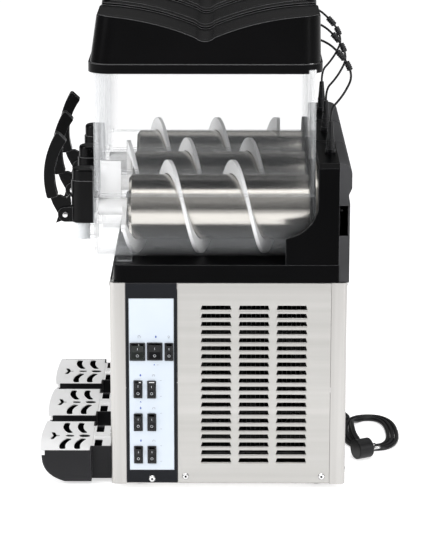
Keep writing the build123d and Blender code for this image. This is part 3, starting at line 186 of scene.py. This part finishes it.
def spread(tree, source, low, high):
    """A value from zero to one spread over a range."""
    node = tree.nodes.new("ShaderNodeMapRange")
    node.inputs["To Min"].default_value = low
    node.inputs["To Max"].default_value = high
    tree.links.new(source, node.inputs["Value"])
    return node.outputs["Result"]


def tint(tree, source, dark, light):
    """A noise value turned into a colour between two."""
    ramp = tree.nodes.new("ShaderNodeValToRGB")
    ramp.color_ramp.elements[0].position = 0.3
    ramp.color_ramp.elements[1].position = 0.7
    ramp.color_ramp.elements[0].color = (*dark, 1.0)
    ramp.color_ramp.elements[1].color = (*light, 1.0)
    tree.links.new(source, ramp.inputs["Fac"])
    return ramp.outputs["Color"]


def rounded_edges(tree, radius):
    """Normals that turn smoothly over edges, as if those had a small radius."""
    node = tree.nodes.new("ShaderNodeBevel")
    node.samples = 6
    node.inputs["Radius"].default_value = radius
    return node.outputs["Normal"]


def edge_mask(tree, rounded):
    """One on edges and zero on flats; it places painted highlights on plastic edges and painted shade on
    clear edges.
    """
    flat = tree.nodes.new("ShaderNodeNewGeometry")
    agree = tree.nodes.new("ShaderNodeVectorMath")
    agree.operation = "DOT_PRODUCT"
    tree.links.new(rounded, agree.inputs[0])
    tree.links.new(flat.outputs["Normal"], agree.inputs[1])
    reach = tree.nodes.new("ShaderNodeMapRange")
    reach.inputs["From Min"].default_value = 0.99
    reach.inputs["From Max"].default_value = 0.8
    tree.links.new(agree.outputs["Value"], reach.inputs["Value"])
    return reach.outputs["Result"]


def blend_colors(tree, mask, flat, edge):
    """The flat colour, turning to a plain edge colour where the mask is one: a painted highlight on
    plastic, painted shade on clear plastic.
    """
    node = tree.nodes.new("ShaderNodeMix")
    node.data_type = "RGBA"
    color_in = [socket for socket in node.inputs if socket.type == "RGBA"]
    tree.links.new(mask, node.inputs["Factor"])
    tree.links.new(flat, color_in[0])
    color_in[1].default_value = (*edge, 1.0)
    return [socket for socket in node.outputs if socket.type == "RGBA"][0]


def bump(tree, shader, source, strength, distance, rounded):
    """Fine relief on top of the rounded edges."""
    node = tree.nodes.new("ShaderNodeBump")
    node.inputs["Strength"].default_value = strength
    node.inputs["Distance"].default_value = distance
    tree.links.new(source, node.inputs["Height"])
    tree.links.new(rounded, node.inputs["Normal"])
    tree.links.new(node.outputs["Normal"], shader.inputs["Normal"])


def plastic(name, dark, light, roughness, specular, edge_highlight):
    """Moulded plastic: fine grain, cloudy gloss, and a paler colour painted along the edges as a painted
    highlight.
    """
    surface, tree, shader = new_material(name, light, roughness[0], specular=specular)
    cloud = noise(tree, 9.0)
    rounded = rounded_edges(tree, EDGE_RADIUS)
    # The paler edge colour laid over the edge mask is a painted highlight.
    color = blend_colors(tree, edge_mask(tree, rounded), tint(tree, cloud, dark, light), edge_highlight)
    tree.links.new(color, shader.inputs["Base Color"])
    tree.links.new(spread(tree, cloud, *roughness), shader.inputs["Roughness"])
    bump(tree, shader, noise(tree, GRAIN, detail=2.0), GRAIN_STRENGTH, GRAIN_DEPTH, rounded)
    return surface


def brushed(name, dark, light, roughness, stretch):
    """Brushed metal: long streaks in shade, gloss and relief."""
    surface, tree, shader = new_material(name, light, roughness[0], metallic=1.0)
    shader.inputs["Anisotropic"].default_value = 0.4
    streaks = noise(tree, 60.0, stretch=stretch, detail=6.0)
    tree.links.new(tint(tree, streaks, dark, light), shader.inputs["Base Color"])
    tree.links.new(spread(tree, streaks, *roughness), shader.inputs["Roughness"])
    bump(tree, shader, streaks, STREAK_STRENGTH, STREAK_DEPTH, rounded_edges(tree, METAL_EDGE_RADIUS))
    return surface


def clear_plastic(name):
    """Clear polycarbonate: see-through face on, milky at a slant, and half opaque along its edges, where a
    dark grey is painted as painted shade.
    """
    surface, tree, shader = new_material(name, CLEAR_LIGHT, 0.08)
    cloud = noise(tree, 35.0)
    tree.links.new(spread(tree, cloud, 0.05, 0.12), shader.inputs["Roughness"])
    slant = tree.nodes.new("ShaderNodeLayerWeight")
    slant.inputs["Blend"].default_value = 0.3
    edges = edge_mask(tree, rounded_edges(tree, CLEAR_EDGE_RADIUS))
    # The dark grey laid over the edge mask is painted shade along the clear walls.
    color = blend_colors(tree, edges, tint(tree, cloud, CLEAR_DARK, CLEAR_LIGHT), PAINTED_CLEAR_EDGE_SHADE)
    tree.links.new(color, shader.inputs["Base Color"])
    most = tree.nodes.new("ShaderNodeMath")
    most.operation = "MAXIMUM"
    tree.links.new(spread(tree, slant.outputs["Facing"], *CLEAR_SLANT), most.inputs[0])
    tree.links.new(spread(tree, edges, 0.0, CLEAR_EDGE_SHARE), most.inputs[1])
    through = tree.nodes.new("ShaderNodeBsdfTransparent")
    mix = tree.nodes.new("ShaderNodeMixShader")
    tree.links.new(most.outputs["Value"], mix.inputs["Fac"])
    tree.links.new(through.outputs["BSDF"], mix.inputs[1])
    tree.links.new(shader.outputs["BSDF"], mix.inputs[2])
    tree.links.new(mix.outputs["Shader"], tree.nodes["Material Output"].inputs["Surface"])
    return surface


EDGE_RADIUS = 0.0014
METAL_EDGE_RADIUS = 0.0008
CLEAR_EDGE_RADIUS = 0.002
CLEAR_LIGHT = (0.84, 0.86, 0.88)
CLEAR_DARK = (0.78, 0.8, 0.82)
# Dark grey painted on the clear bowl's edges: painted shade.
PAINTED_CLEAR_EDGE_SHADE = (0.3, 0.31, 0.33)
GRAIN = 900.0
GRAIN_DEPTH = 0.00004
GRAIN_STRENGTH = 0.25
STREAK_DEPTH = 0.0002
STREAK_STRENGTH = 0.05
CLEAR_SLANT = (0.01, 0.42)
CLEAR_EDGE_SHARE = 0.5
BLACK = ((0.0008, 0.0008, 0.001), (0.0018, 0.0018, 0.0021))
# Pale grey painted on the edges of black parts: a painted highlight.
PAINTED_EDGE_HIGHLIGHT = (0.11, 0.11, 0.115)
# The last colour of each finish is painted along its edges; where it is paler than the part, it is a
# painted highlight.
BLACKS = {
    "deck_black": (*BLACK, (0.25, 0.36), 0.04, PAINTED_EDGE_HIGHLIGHT),
    "hood_black": (*BLACK, (0.25, 0.36), 0.04, PAINTED_EDGE_HIGHLIGHT),
    "lid_black": (*BLACK, (0.2, 0.3), 0.08, (0.24, 0.24, 0.245)),
    "tap_black": (*BLACK, (0.24, 0.34), 0.12, (0.2, 0.2, 0.205)),
    "tray_black": ((0.006, 0.006, 0.007), (0.01, 0.01, 0.012), (0.34, 0.46), 0.22, PAINTED_EDGE_HIGHLIGHT),
    "bezel_black": ((0.004, 0.005, 0.007), (0.009, 0.01, 0.013), (0.32, 0.44), 0.14, PAINTED_EDGE_HIGHLIGHT),
    "rocker_black": ((0.003, 0.003, 0.004), (0.008, 0.008, 0.009), (0.26, 0.38), 0.25, (0.06, 0.06, 0.062)),
    "rocker_green": ((0.004, 0.006, 0.005), (0.008, 0.011, 0.009), (0.22, 0.32), 0.3, (0.05, 0.07, 0.06)),
    "compressor_black": ((0.006, 0.006, 0.006), (0.014, 0.014, 0.014), (0.34, 0.48), 0.3, PAINTED_EDGE_HIGHLIGHT),
    "fan_black": ((0.01, 0.01, 0.01), (0.02, 0.02, 0.02), (0.45, 0.6), 0.3, PAINTED_EDGE_HIGHLIGHT),
    "cable_black": ((0.003, 0.003, 0.004), (0.007, 0.007, 0.008), (0.3, 0.42), 0.3, (0.05, 0.05, 0.052)),
    "rubber_black": ((0.008, 0.008, 0.008), (0.014, 0.014, 0.014), (0.7, 0.85), 0.2, (0.05, 0.05, 0.05)),
    "cover_grey": ((0.03, 0.03, 0.032), (0.055, 0.055, 0.058), (0.5, 0.62), 0.25, PAINTED_EDGE_HIGHLIGHT),
    # Near-black finish of the dark sheets behind the louvres: painted shade.
    "shade_sheet_black": ((0.004, 0.004, 0.004), (0.01, 0.01, 0.01), (0.85, 0.95), 0.1, (0.01, 0.01, 0.01)),
}
# As above, the last colour is painted along the edges; a paler one is a painted highlight.
PALES = {
    "motor_grey": ((0.1, 0.1, 0.1), (0.18, 0.18, 0.18), (0.5, 0.7), 0.4, (0.3, 0.3, 0.3)),
    "auger_white": ((0.87, 0.875, 0.88), (0.93, 0.93, 0.935), (0.3, 0.42), 0.5, (0.95, 0.95, 0.95)),
    "piston_white": ((0.72, 0.74, 0.76), (0.8, 0.82, 0.83), (0.3, 0.4), 0.5, (0.85, 0.85, 0.85)),
    "grille_white": ((0.9, 0.905, 0.91), (0.95, 0.95, 0.955), (0.24, 0.36), 0.5, (0.96, 0.96, 0.96)),
    "label_pale": ((0.6, 0.665, 0.74), (0.65, 0.71, 0.785), (0.3, 0.4), 0.4, (0.6, 0.65, 0.7)),
    "print_blue": ((0.05, 0.1, 0.4), (0.08, 0.14, 0.5), (0.35, 0.45), 0.4, (0.08, 0.14, 0.5)),
    "print_grey": ((0.25, 0.27, 0.32), (0.34, 0.36, 0.42), (0.35, 0.45), 0.4, (0.3, 0.32, 0.36)),
    "mark_white": ((0.55, 0.57, 0.6), (0.7, 0.72, 0.75), (0.35, 0.45), 0.4, (0.7, 0.72, 0.75)),
}
METALS = {
    "steel_panel": ((0.42, 0.412, 0.395), (0.49, 0.482, 0.465), (0.32, 0.44), (0.02, 0.02, 1.0)),
    "steel_frame": ((0.4, 0.39, 0.375), (0.5, 0.49, 0.475), (0.24, 0.36), (1.0, 1.0, 0.02)),
    "drum_steel": ((0.46, 0.44, 0.41), (0.58, 0.56, 0.52), (0.2, 0.28), (1.0, 0.03, 1.0)),
    "shaft_steel": ((0.6, 0.6, 0.6), (0.75, 0.75, 0.75), (0.15, 0.25), (1.0, 0.03, 1.0)),
    "screw_steel": ((0.55, 0.55, 0.55), (0.8, 0.8, 0.8), (0.18, 0.3), (1.0, 1.0, 1.0)),
    # The condenser's aluminium is painted near black: painted shade for the dark inside of the cabinet seen
    # through the louvres.
    "condenser_alu": ((0.05, 0.05, 0.05), (0.1, 0.1, 0.1), (0.4, 0.55), (1.0, 1.0, 0.1)),
}


def make_materials():
    """Every material by name."""
    materials = {name: plastic(name, *finish) for name, finish in {**BLACKS, **PALES}.items()}
    for name, (dark, light, roughness, stretch) in METALS.items():
        materials[name] = brushed(name, dark, light, roughness, stretch)
    materials["bowl_clear"] = clear_plastic("bowl_clear")
    return materials


def dress_cad(materials):
    """Give every CAD node the finish of its record slot."""
    for part in frame["record"]["subparts"]:
        node = bpy.data.objects[part["node"]]
        surface = materials[part["material_slot"]]
        for index in range(len(node.material_slots)):
            node.material_slots[index].material = surface


# ---------------------------------------------------------------- mesh helpers
class Shape:
    """Corners and faces gathered for one piece."""

    def __init__(self):
        self.corners = []
        self.faces = []

    def add(self, corners, faces):
        start = len(self.corners)
        self.corners += [tuple(corner) for corner in corners]
        self.faces += [tuple(start + index for index in face) for face in faces]

    def slab(self, outline, origin, across, up, thickness):
        """A flat outline, drawn across and up from origin, with a thickness towards the viewer."""
        out = across.cross(up) * thickness
        back = [origin + across * a + up * b for a, b in outline]
        count = len(back)
        sides = [(i, (i + 1) % count, (i + 1) % count + count, i + count) for i in range(count)]
        self.add(back + [corner + out for corner in back],
                 [tuple(reversed(range(count))), tuple(range(count, 2 * count))] + sides)

    def ring(self, outer, inner, origin, across, up, thickness, share=1.0):
        """A flat ring, or the given share of one, with a thickness towards the viewer."""
        out = across.cross(up) * thickness
        steps = 24
        corners = []
        for step in range(steps + 1):
            angle = math.pi * (0.5 + 2.0 * share * (step / steps - 0.5))
            way = across * math.cos(angle) + up * math.sin(angle)
            near, far = origin + way * inner, origin + way * outer
            corners += [near, far, far + out, near + out]
        faces = []
        for step in range(steps):
            low, high = 4 * step, 4 * step + 4
            for side in range(4):
                after = (side + 1) % 4
                faces.append((low + side, low + after, high + after, high + side))
        self.add(corners, faces)

    def tube(self, stations, steps=20):
        """A round body along stations of place, direction and radius, closed at both ends."""
        corners = []
        for place, direction, radius in stations:
            turn = direction.to_track_quat("Z", "Y")
            for step in range(steps):
                angle = 2.0 * math.pi * step / steps
                across, up = radius * math.cos(angle), radius * math.sin(angle)
                corners.append(place + turn @ Vector((across, up, 0.0)))
        faces = [tuple(reversed(range(steps)))]
        for row in range(len(stations) - 1):
            for step in range(steps):
                low, after = row * steps + step, row * steps + (step + 1) % steps
                faces.append((low, after, after + steps, low + steps))
        last = (len(stations) - 1) * steps
        faces.append(tuple(range(last, last + steps)))
        self.add(corners, faces)

    def build(self, name, body, slot, surface, smooth=False):
        """Make the piece, on its body and with the given surface; the slot is not used."""
        mesh = bpy.data.meshes.new(name)
        mesh.from_pydata(self.corners, [], self.faces)
        mesh.materials.append(surface)
        if smooth:
            mesh.shade_smooth()
        piece = bpy.data.objects.new(name, mesh)
        SCENE.collection.objects.link(piece)
        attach(piece, body)
        return piece


# ---------------------------------------------------------------- cables
MAINS_ROUTE = [(-0.170, 0.216, 0.075), (-0.170, 0.216, 0.035), (-0.141, 0.216, 0.0042),
               (-0.1055, 0.216, 0.0042)]
LIGHT_ROUTE = [(0.0, 0.1563, 0.777), (0.001, 0.170, 0.772), (0.002, 0.188, 0.756), (0.002, 0.205, 0.736),
               (0.002, 0.212, 0.712), (0.001, 0.202, 0.690), (0.0, 0.190, 0.672), (0.0, 0.176, 0.657),
               (0.0, 0.176, 0.636)]
MAINS_D = 0.008
LIGHT_D = 0.004
COIL_MIDDLE = (-0.011, 0.2665)
COIL_HALF = (0.108, 0.0585)
COIL_TURNS = 3
COIL_POINTS = 20
STRAND_STEP = 0.0083
COIL_POWER = 2.5
COIL_START = math.radians(214.0)
FLOOR_GAP = 0.0002
LAST_PASS = [(-0.060, 0.2340, 0.0100), (-0.020, 0.2335, 0.0125), (0.025, 0.2350, 0.0127),
             (0.060, 0.2410, 0.0125), (0.0973, 0.244, 0.012)]


def coil_points():
    """Turns of the lead on the floor, each one strand further in than the last."""
    points = []
    count = COIL_TURNS * COIL_POINTS
    for step in range(count + 1):
        angle = COIL_START + step / COIL_POINTS * 2.0 * math.pi
        inset = MAINS_D / 2 + STRAND_STEP * step / COIL_POINTS
        cos, sin = math.cos(angle), math.sin(angle)
        x = COIL_MIDDLE[0] + (COIL_HALF[0] - inset) * math.copysign(abs(cos) ** (2 / COIL_POWER), cos)
        y = COIL_MIDDLE[1] + (COIL_HALF[1] - inset) * math.copysign(abs(sin) ** (2 / COIL_POWER), sin)
        points.append((x, y, MAINS_D / 2 + FLOOR_GAP))
    return points


def cord_curve(name, points, diameter, surface):
    """One smooth round cord with its line near the given points."""
    data = bpy.data.curves.new(name, "CURVE")
    data.dimensions = "3D"
    data.bevel_depth = diameter / 2
    data.bevel_resolution = 4
    data.use_fill_caps = True
    spline = data.splines.new("NURBS")
    spline.points.add(len(points) - 1)
    for point, place in zip(spline.points, points):
        point.co = (*place, 1.0)
    spline.order_u = 3
    spline.use_endpoint_u = True
    spline.resolution_u = 10
    data.materials.append(surface)
    cord = bpy.data.objects.new(name, data)
    SCENE.collection.objects.link(cord)
    return cord


def centre_line(cord):
    """The places along a cord's line."""
    bare = cord.data.copy()
    bare.bevel_depth = 0.0
    bare.use_fill_caps = False
    probe = bpy.data.objects.new("probe", bare)
    mesh = bpy.data.meshes.new_from_object(probe)
    places = [vertex.co.copy() for vertex in mesh.vertices]
    bpy.data.objects.remove(probe)
    bpy.data.curves.remove(bare)
    bpy.data.meshes.remove(mesh)
    return places


def curve_length(cord):
    """Length of a cord's line."""
    places = centre_line(cord)
    return sum((b - a).length for a, b in zip(places, places[1:]))


def along(places, distance):
    """The place at a distance along a line, and the line's direction there."""
    for a, b in zip(places, places[1:]):
        run = (b - a).length
        if distance <= run:
            break
        distance -= run
    return a.lerp(b, min(distance / run, 1.0)), (b - a).normalized()


# ---------------------------------------------------------------- cable fittings
SLEEVES = [(0.036, 0.019, 0.0048), (0.060, 0.016, 0.0046)]
SLEEVE_RIBS = 5
SOCKET_Y = 0.176
SOCKET_RIB_Z = (0.590, 0.606)
SOCKET_R = 0.0067
SOCKET_RIBS = 5
RIB_RISE = 0.0009
PLUG_PLACE = (0.127, 0.244, 0.018)
PLUG_HEADING = math.radians(120.0)
PLUG_PIN = (0.0155, 0.0335, 0.0095, 0.0025)


def ribbed(places, start, length, radius, ribs):
    """Stations of a ribbed sleeve along a line."""
    stations = []
    steps = 4 * ribs
    for step in range(steps + 1):
        place, direction = along(places, start + length * step / steps)
        rise = RIB_RISE if step % 4 in (1, 2) else 0.0
        taper = 0.75 if step in (0, steps) else 1.0
        stations.append((place, direction, (radius + rise) * taper))
    return stations


def cable_sleeves(name, places, materials):
    """Ribbed connectors strung on a lid's light cable."""
    shape = Shape()
    for start, length, radius in SLEEVES:
        shape.tube(ribbed(places, start, length, radius, SLEEVE_RIBS))
    return shape.build(f"cable_sleeves_{name}", f"lid_{name}", "cable_black", materials["cable_black"])


def socket_ribs(materials):
    """Grip ribs around the upright cable sockets on the hoods."""
    low, high = SOCKET_RIB_Z
    for name, x in UNITS.items():
        line = [Vector((x, SOCKET_Y, low)), Vector((x, SOCKET_Y, high))]
        shape = Shape()
        shape.tube(ribbed(line, 0.0, high - low, SOCKET_R, SOCKET_RIBS))
        shape.build(f"socket_ribs_{name}", "cabinet", "cable_black", materials["cable_black"])


def plug_pins(materials):
    """Bright sleeves on the plug's two pins."""
    near, far, apart, radius = PLUG_PIN
    heading = Vector((math.cos(PLUG_HEADING), math.sin(PLUG_HEADING), 0.0))
    beside = Vector((-heading.y, heading.x, 0.0))
    shape = Shape()
    for side in (-1, 1):
        line = Vector(PLUG_PLACE) + beside * side * apart
        tip = [(far - 0.3 * radius, 0.8 * radius), (far, 0.3 * radius)]
        reach = [(near, radius), (far - radius, radius)] + tip
        shape.tube([(line + heading * distance, heading, r) for distance, r in reach])
    return shape.build("plug_pins", "cabinet", "shaft_steel", materials["shaft_steel"], smooth=True)


def add_mains_lead(materials):
    """The mains lead, from its gland through the coil to the plug."""
    points = MAINS_ROUTE[:-1] + coil_points() + LAST_PASS
    lead = cord_curve("mains_lead", points, MAINS_D, materials["cable_black"])
    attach(lead, "cabinet")
    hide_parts("mains_cord", "cord_coil")
    plug = [bpy.data.objects["mains_plug"], plug_pins(materials)]
    curve_length(lead)


def add_light_leads(materials):
    """One cable from each lid to its coupling."""
    for name, x in UNITS.items():
        points = [(x + across, along, up) for across, along, up in LIGHT_ROUTE]
        lead = cord_curve(f"light_lead_{name}", points, LIGHT_D, materials["cable_black"])
        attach(lead, f"lid_{name}")
        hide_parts(f"light_cable_{name}")
        sleeves = cable_sleeves(name, centre_line(lead), materials)
        curve_length(lead)


# ---------------------------------------------------------------- tap pivots
PIVOT = (-0.2835, 0.472)
PIVOT_HEAD_X = (0.0119, 0.0127)
PIVOT_HEAD_R = 0.0048


def pivot_caps(materials):
    """Polished, domed ends on each tap handle's pivot pin."""
    near, far = PIVOT_HEAD_X
    for name, x in UNITS.items():
        shape = Shape()
        for side in (-1, 1):
            way = Vector((side, 0.0, 0.0))
            middle = Vector((x, *PIVOT))
            stations = [(near, 0.9), (near, 1.0), ((near + far) / 2, 0.8), (far, 0.35)]
            shape.tube([(middle + way * reach, way, PIVOT_HEAD_R * share) for reach, share in stations])
        shape.build(f"pivot_caps_{name}", f"tap_handle_{name}", "screw_steel", materials["screw_steel"])


# ---------------------------------------------------------------- control plate
OUT = Vector((1.0, 0.0, 0.0))
ACROSS = Vector((0.0, 1.0, 0.0))
UP = Vector((0.0, 0.0, 1.0))
PLATE_BACK = 0.30055
PLATE_THICK = 0.0006
PLATE_Y = (-0.1712, -0.0938)
PLATE_Z = (0.0363, 0.3457)
FRAME_MARGIN = 0.0032
PRINT = 0.00012
ROW_Z = (0.183, 0.1237, 0.0644)
ROCKERS = ("rocker_power", "rocker_mode", "rocker_light", "rocker_mix_left", "rocker_cool_left",
           "rocker_mix_mid", "rocker_cool_mid", "rocker_mix_right", "rocker_cool_right")
DROP = [(0.0, 0.0026), (0.0012, 0.0006), (0.0015, -0.0007), (0.0009, -0.0018), (0.0, -0.0022),
        (-0.0009, -0.0018), (-0.0015, -0.0007), (-0.0012, 0.0006)]
ARROW = [(0.0, 0.0014), (-0.0016, -0.0012), (0.0016, -0.0012)]
BAR = [(-0.0015, -0.0003), (0.0015, -0.0003), (0.0015, 0.0003), (-0.0015, 0.0003)]
POWER_LINE = [(-0.0003, 0.0008), (0.0003, 0.0008), (0.0003, 0.0030), (-0.0003, 0.0030)]
POWER_RING = (0.0027, 0.0021)
LAMP_RING = (0.0019, 0.0014)
MIX_RING = (0.0024, 0.0018)
POWER_PLACE = (-0.1533, 0.2774)
LAMP_PLACE = (-0.1025, 0.2778)
MODE_PLACES = ((-0.1247, 0.2776), (-0.1275, 0.2276), (-0.1215, 0.2272))
COOL_Y = -0.1517
COOL_DROP_RISE = 0.0255
COOL_ARROW_DROP = 0.0225
MIX_Y = -0.1290
MIX_RISE = 0.0245
TICK_Y = -0.1165
TICK_RISES = (-0.0125, 0.0160)
LAMP_FOOT = [(-0.0008, -0.0030), (0.0008, -0.0030), (0.0008, -0.0019), (-0.0008, -0.0019)]


def frame_holes():
    """Low and high corners, in y and z, of the rocker frames that stand through the plate."""
    holes = []
    for rocker in ROCKERS:
        low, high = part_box(rocker)
        reach_y = (low[1] - FRAME_MARGIN, high[1] + FRAME_MARGIN)
        reach_z = (low[2] - FRAME_MARGIN, high[2] + FRAME_MARGIN)
        holes.append((reach_y, reach_z))
    return holes


def label_plate(materials):
    """Printed plate in the bezel's recess, cut out around every rocker frame."""
    holes = frame_holes()
    ys = sorted({*PLATE_Y, *(edge for hole in holes for edge in hole[0])})
    zs = sorted({*PLATE_Z, *(edge for hole in holes for edge in hole[1])})
    corners = [(PLATE_BACK, y, z) for y in ys for z in zs]
    faces = []
    for i in range(len(ys) - 1):
        for j in range(len(zs) - 1):
            y, z = (ys[i] + ys[i + 1]) / 2, (zs[j] + zs[j + 1]) / 2
            if not any(a[0] < y < a[1] and b[0] < z < b[1] for a, b in holes):
                first = i * len(zs) + j
                faces.append((first, first + len(zs), first + len(zs) + 1, first + 1))
    shape = Shape()
    shape.add(corners, faces)
    plate = shape.build("label_plate", "cabinet", "grille_white", materials["label_pale"])
    thick = plate.modifiers.new("thickness", "SOLIDIFY")
    thick.thickness = PLATE_THICK
    thick.offset = 1.0


def icons(materials):
    """Small printed signs above the rockers: blue drops, grey rings, arrows and a lamp."""
    face = PLATE_BACK + PLATE_THICK
    blue, grey = Shape(), Shape()

    def at(y, z):
        return Vector((face, y, z))

    mode_drop, mode_arrow, mode_bar = MODE_PLACES
    grey.ring(*POWER_RING, at(*POWER_PLACE), ACROSS, UP, PRINT, share=0.85)
    grey.slab(POWER_LINE, at(*POWER_PLACE), ACROSS, UP, PRINT)
    grey.ring(*LAMP_RING, at(*LAMP_PLACE), ACROSS, UP, PRINT)
    grey.slab(LAMP_FOOT, at(*LAMP_PLACE), ACROSS, UP, PRINT)
    blue.slab(DROP, at(*mode_drop), ACROSS, UP, PRINT)
    blue.slab(ARROW, at(*mode_arrow), ACROSS, UP, PRINT)
    grey.slab(BAR, at(*mode_bar), ACROSS, UP, PRINT)
    for row, z in enumerate(ROW_Z):
        blue.slab(DROP, at(COOL_Y, z + COOL_DROP_RISE), ACROSS, UP, PRINT)
        grey.ring(*MIX_RING, at(MIX_Y, z + MIX_RISE), ACROSS, UP, PRINT, share=0.7)
        for rise in TICK_RISES:
            grey.slab(BAR, at(TICK_Y, z + rise), ACROSS, UP, PRINT)
        if row == 0:
            blue.slab(ARROW, at(COOL_Y, z - COOL_ARROW_DROP), ACROSS, UP, PRINT)
    blue.build("icons_blue", "cabinet", "grille_white", materials["print_blue"])
    grey.build("icons_grey", "cabinet", "grille_white", materials["print_grey"])


def tilted_face(rocker, upper):
    """Middle of the upper or lower half of a rocker's face, and the way it looks."""
    mesh = bpy.data.objects[rocker].data
    low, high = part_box(rocker)
    middle = (low[2] + high[2]) / 2
    area, place, normal = 0.0, Vector(), Vector()
    for face in mesh.polygons:
        if face.normal.x > 0.8 and (face.center.z > middle) == upper:
            area += face.area
            place += face.center * face.area
            normal += face.normal * face.area
    return place / area, normal.normalized()


MARK_LIFT = 0.00003
MARK_LINE = [(-0.0004, -0.0022), (0.0004, -0.0022), (0.0004, 0.0022), (-0.0004, 0.0022)]
MARK_RING = (0.0024, 0.0017)


def rocker_marks(materials):
    """White line and ring on the two halves of each rocker."""
    for rocker in ROCKERS:
        shape = Shape()
        for upper in (True, False):
            place, normal = tilted_face(rocker, upper)
            up = normal.cross(ACROSS).normalized()
            spot = place + normal * MARK_LIFT
            if upper:
                shape.slab(MARK_LINE, spot, ACROSS, up, PRINT)
            else:
                shape.ring(*MARK_RING, spot, ACROSS, up, PRINT)
        shape.build(f"marks_{rocker}", rocker, "grille_white", materials["mark_white"])


# ---------------------------------------------------------------- cabinet details
SIDE_X = 0.300
REAR_Y = 0.204
SHEET = 0.0012
LOUVRE_ROW_PITCH = 0.0145
LOUVRE_PITCH = 0.0652
LOUVRE_HALF_W = 0.0263
SIDE_LOUVRES = (3, 20, 0.0443, 0.0505)
REAR_LOUVRES = (5, 10, 0.0, 0.180)
LIP = [(0.0, 0.0), (0.0011, -0.0003), (0.0013, -0.0010), (0.0009, -0.0020), (0.0, -0.0032)]
# Place and size of the dark sheets behind the louvres, which are painted shade.
SHADE_SHEET_GAP = 0.0006
SHADE_SHEET_THICK = 0.0015
SHADE_SHEET_CRIMP = 0.004
SHADE_SHEET_LEFT = ((-0.150, 0.035), (0.172, 0.352))
SHADE_SHEET_REAR = ((-0.262, 0.150), (0.262, 0.345))
# Size of the dark hexagon painted on each screw head as the shade of its socket.
HEX_SHADE_R = 0.0021


def lips(name, fields, origin, along_axis, out_axis, surface):
    """Pressed lips under the louvre slots of one sheet."""
    columns, rows, centre, bottom = fields
    shape = Shape()
    way = out_axis.cross(UP)
    for column in range(columns):
        middle = centre + (column - (columns - 1) / 2) * LOUVRE_PITCH
        for row in range(rows):
            height = bottom + row * LOUVRE_ROW_PITCH
            corner = origin + along_axis * middle - way * LOUVRE_HALF_W + UP * height
            shape.slab(LIP, corner, out_axis, UP, 2 * LOUVRE_HALF_W)
    shape.build(name, "cabinet", "steel_panel", surface)


def painted_shade_sheet(name, low, high, materials):
    """A dark sheet behind a louvred sheet, painted shade for the dark inside seen through the slots, with
    its corners cut.
    """
    shape = Shape()
    width, height = (high - low).x or (high - low).y, high.z - low.z
    across = OUT if (high - low).x else ACROSS
    crimp = SHADE_SHEET_CRIMP
    shape.slab([(crimp, 0.0), (width - crimp, 0.0), (width, crimp), (width, height - crimp),
                (width - crimp, height), (crimp, height), (0.0, height - crimp), (0.0, crimp)],
               low, across, UP, SHADE_SHEET_THICK)
    shape.build(name, "cabinet", "rubber_black", materials["shade_sheet_black"])


def painted_socket_shades(materials):
    """A flat dark hexagon on every screw head: painted shade for its socket."""
    mesh = bpy.data.objects["screws"].data
    count = len(mesh.vertices)
    parent = list(range(count))

    def root(index):
        while parent[index] != index:
            index = parent[index]
        return index

    for edge in mesh.edges:
        a, b = root(edge.vertices[0]), root(edge.vertices[1])
        parent[a] = b
    heads = {}
    for index, vertex in enumerate(mesh.vertices):
        heads.setdefault(root(index), []).append(vertex.co)
    shape = Shape()
    hexagon = [(HEX_SHADE_R * math.cos(math.radians(60 * i)), HEX_SHADE_R * math.sin(math.radians(60 * i)))
               for i in range(6)]
    for places in heads.values():
        low = Vector([min(place[axis] for place in places) for axis in range(3)])
        high = Vector([max(place[axis] for place in places) for axis in range(3)])
        size = high - low
        axis = min(range(3), key=lambda i: size[i])
        middle = (low + high) / 2
        out = Vector((0.0, 0.0, 0.0))
        out[axis] = math.copysign(1.0, middle[axis])
        spot = middle.copy()
        spot[axis] = high[axis] if middle[axis] > 0 else low[axis]
        shape.slab(hexagon, spot, UP.cross(out), UP, PRINT)
    shape.build("painted_socket_shades", "cabinet", "rubber_black", materials["rubber_black"])


def cabinet_details(materials):
    """Louvre lips, dark sheets of painted shade behind the louvres away from the condenser, and painted
    shade in the screw sockets.
    """
    steel = materials["steel_panel"]
    lips("louvre_lips_right", SIDE_LOUVRES, Vector((SIDE_X, 0.0, 0.0)), ACROSS, OUT, steel)
    lips("louvre_lips_left", SIDE_LOUVRES, Vector((-SIDE_X, 0.0, 0.0)), ACROSS, -OUT, steel)
    lips("louvre_lips_rear", REAR_LOUVRES, Vector((0.0, REAR_Y, 0.0)), OUT, ACROSS, steel)
    inside = SIDE_X - SHEET - SHADE_SHEET_GAP - SHADE_SHEET_THICK
    low, high = (Vector((-inside - SHADE_SHEET_THICK, y, z)) for y, z in SHADE_SHEET_LEFT)
    painted_shade_sheet("shade_sheet_left", low, high, materials)
    behind = REAR_Y - SHEET - SHADE_SHEET_GAP
    low, high = (Vector((x, behind, z)) for x, z in SHADE_SHEET_REAR)
    painted_shade_sheet("shade_sheet_rear", low, high, materials)
    painted_socket_shades(materials)


# ---------------------------------------------------------------- build it all
def main():
    """Everything around the fixed frame."""
    add_camera()
    add_light()
    add_floor()
    materials = make_materials()
    dress_cad(materials)
    add_mains_lead(materials)
    add_light_leads(materials)
    socket_ribs(materials)
    pivot_caps(materials)
    label_plate(materials)
    icons(materials)
    rocker_marks(materials)
    cabinet_details(materials)


main()
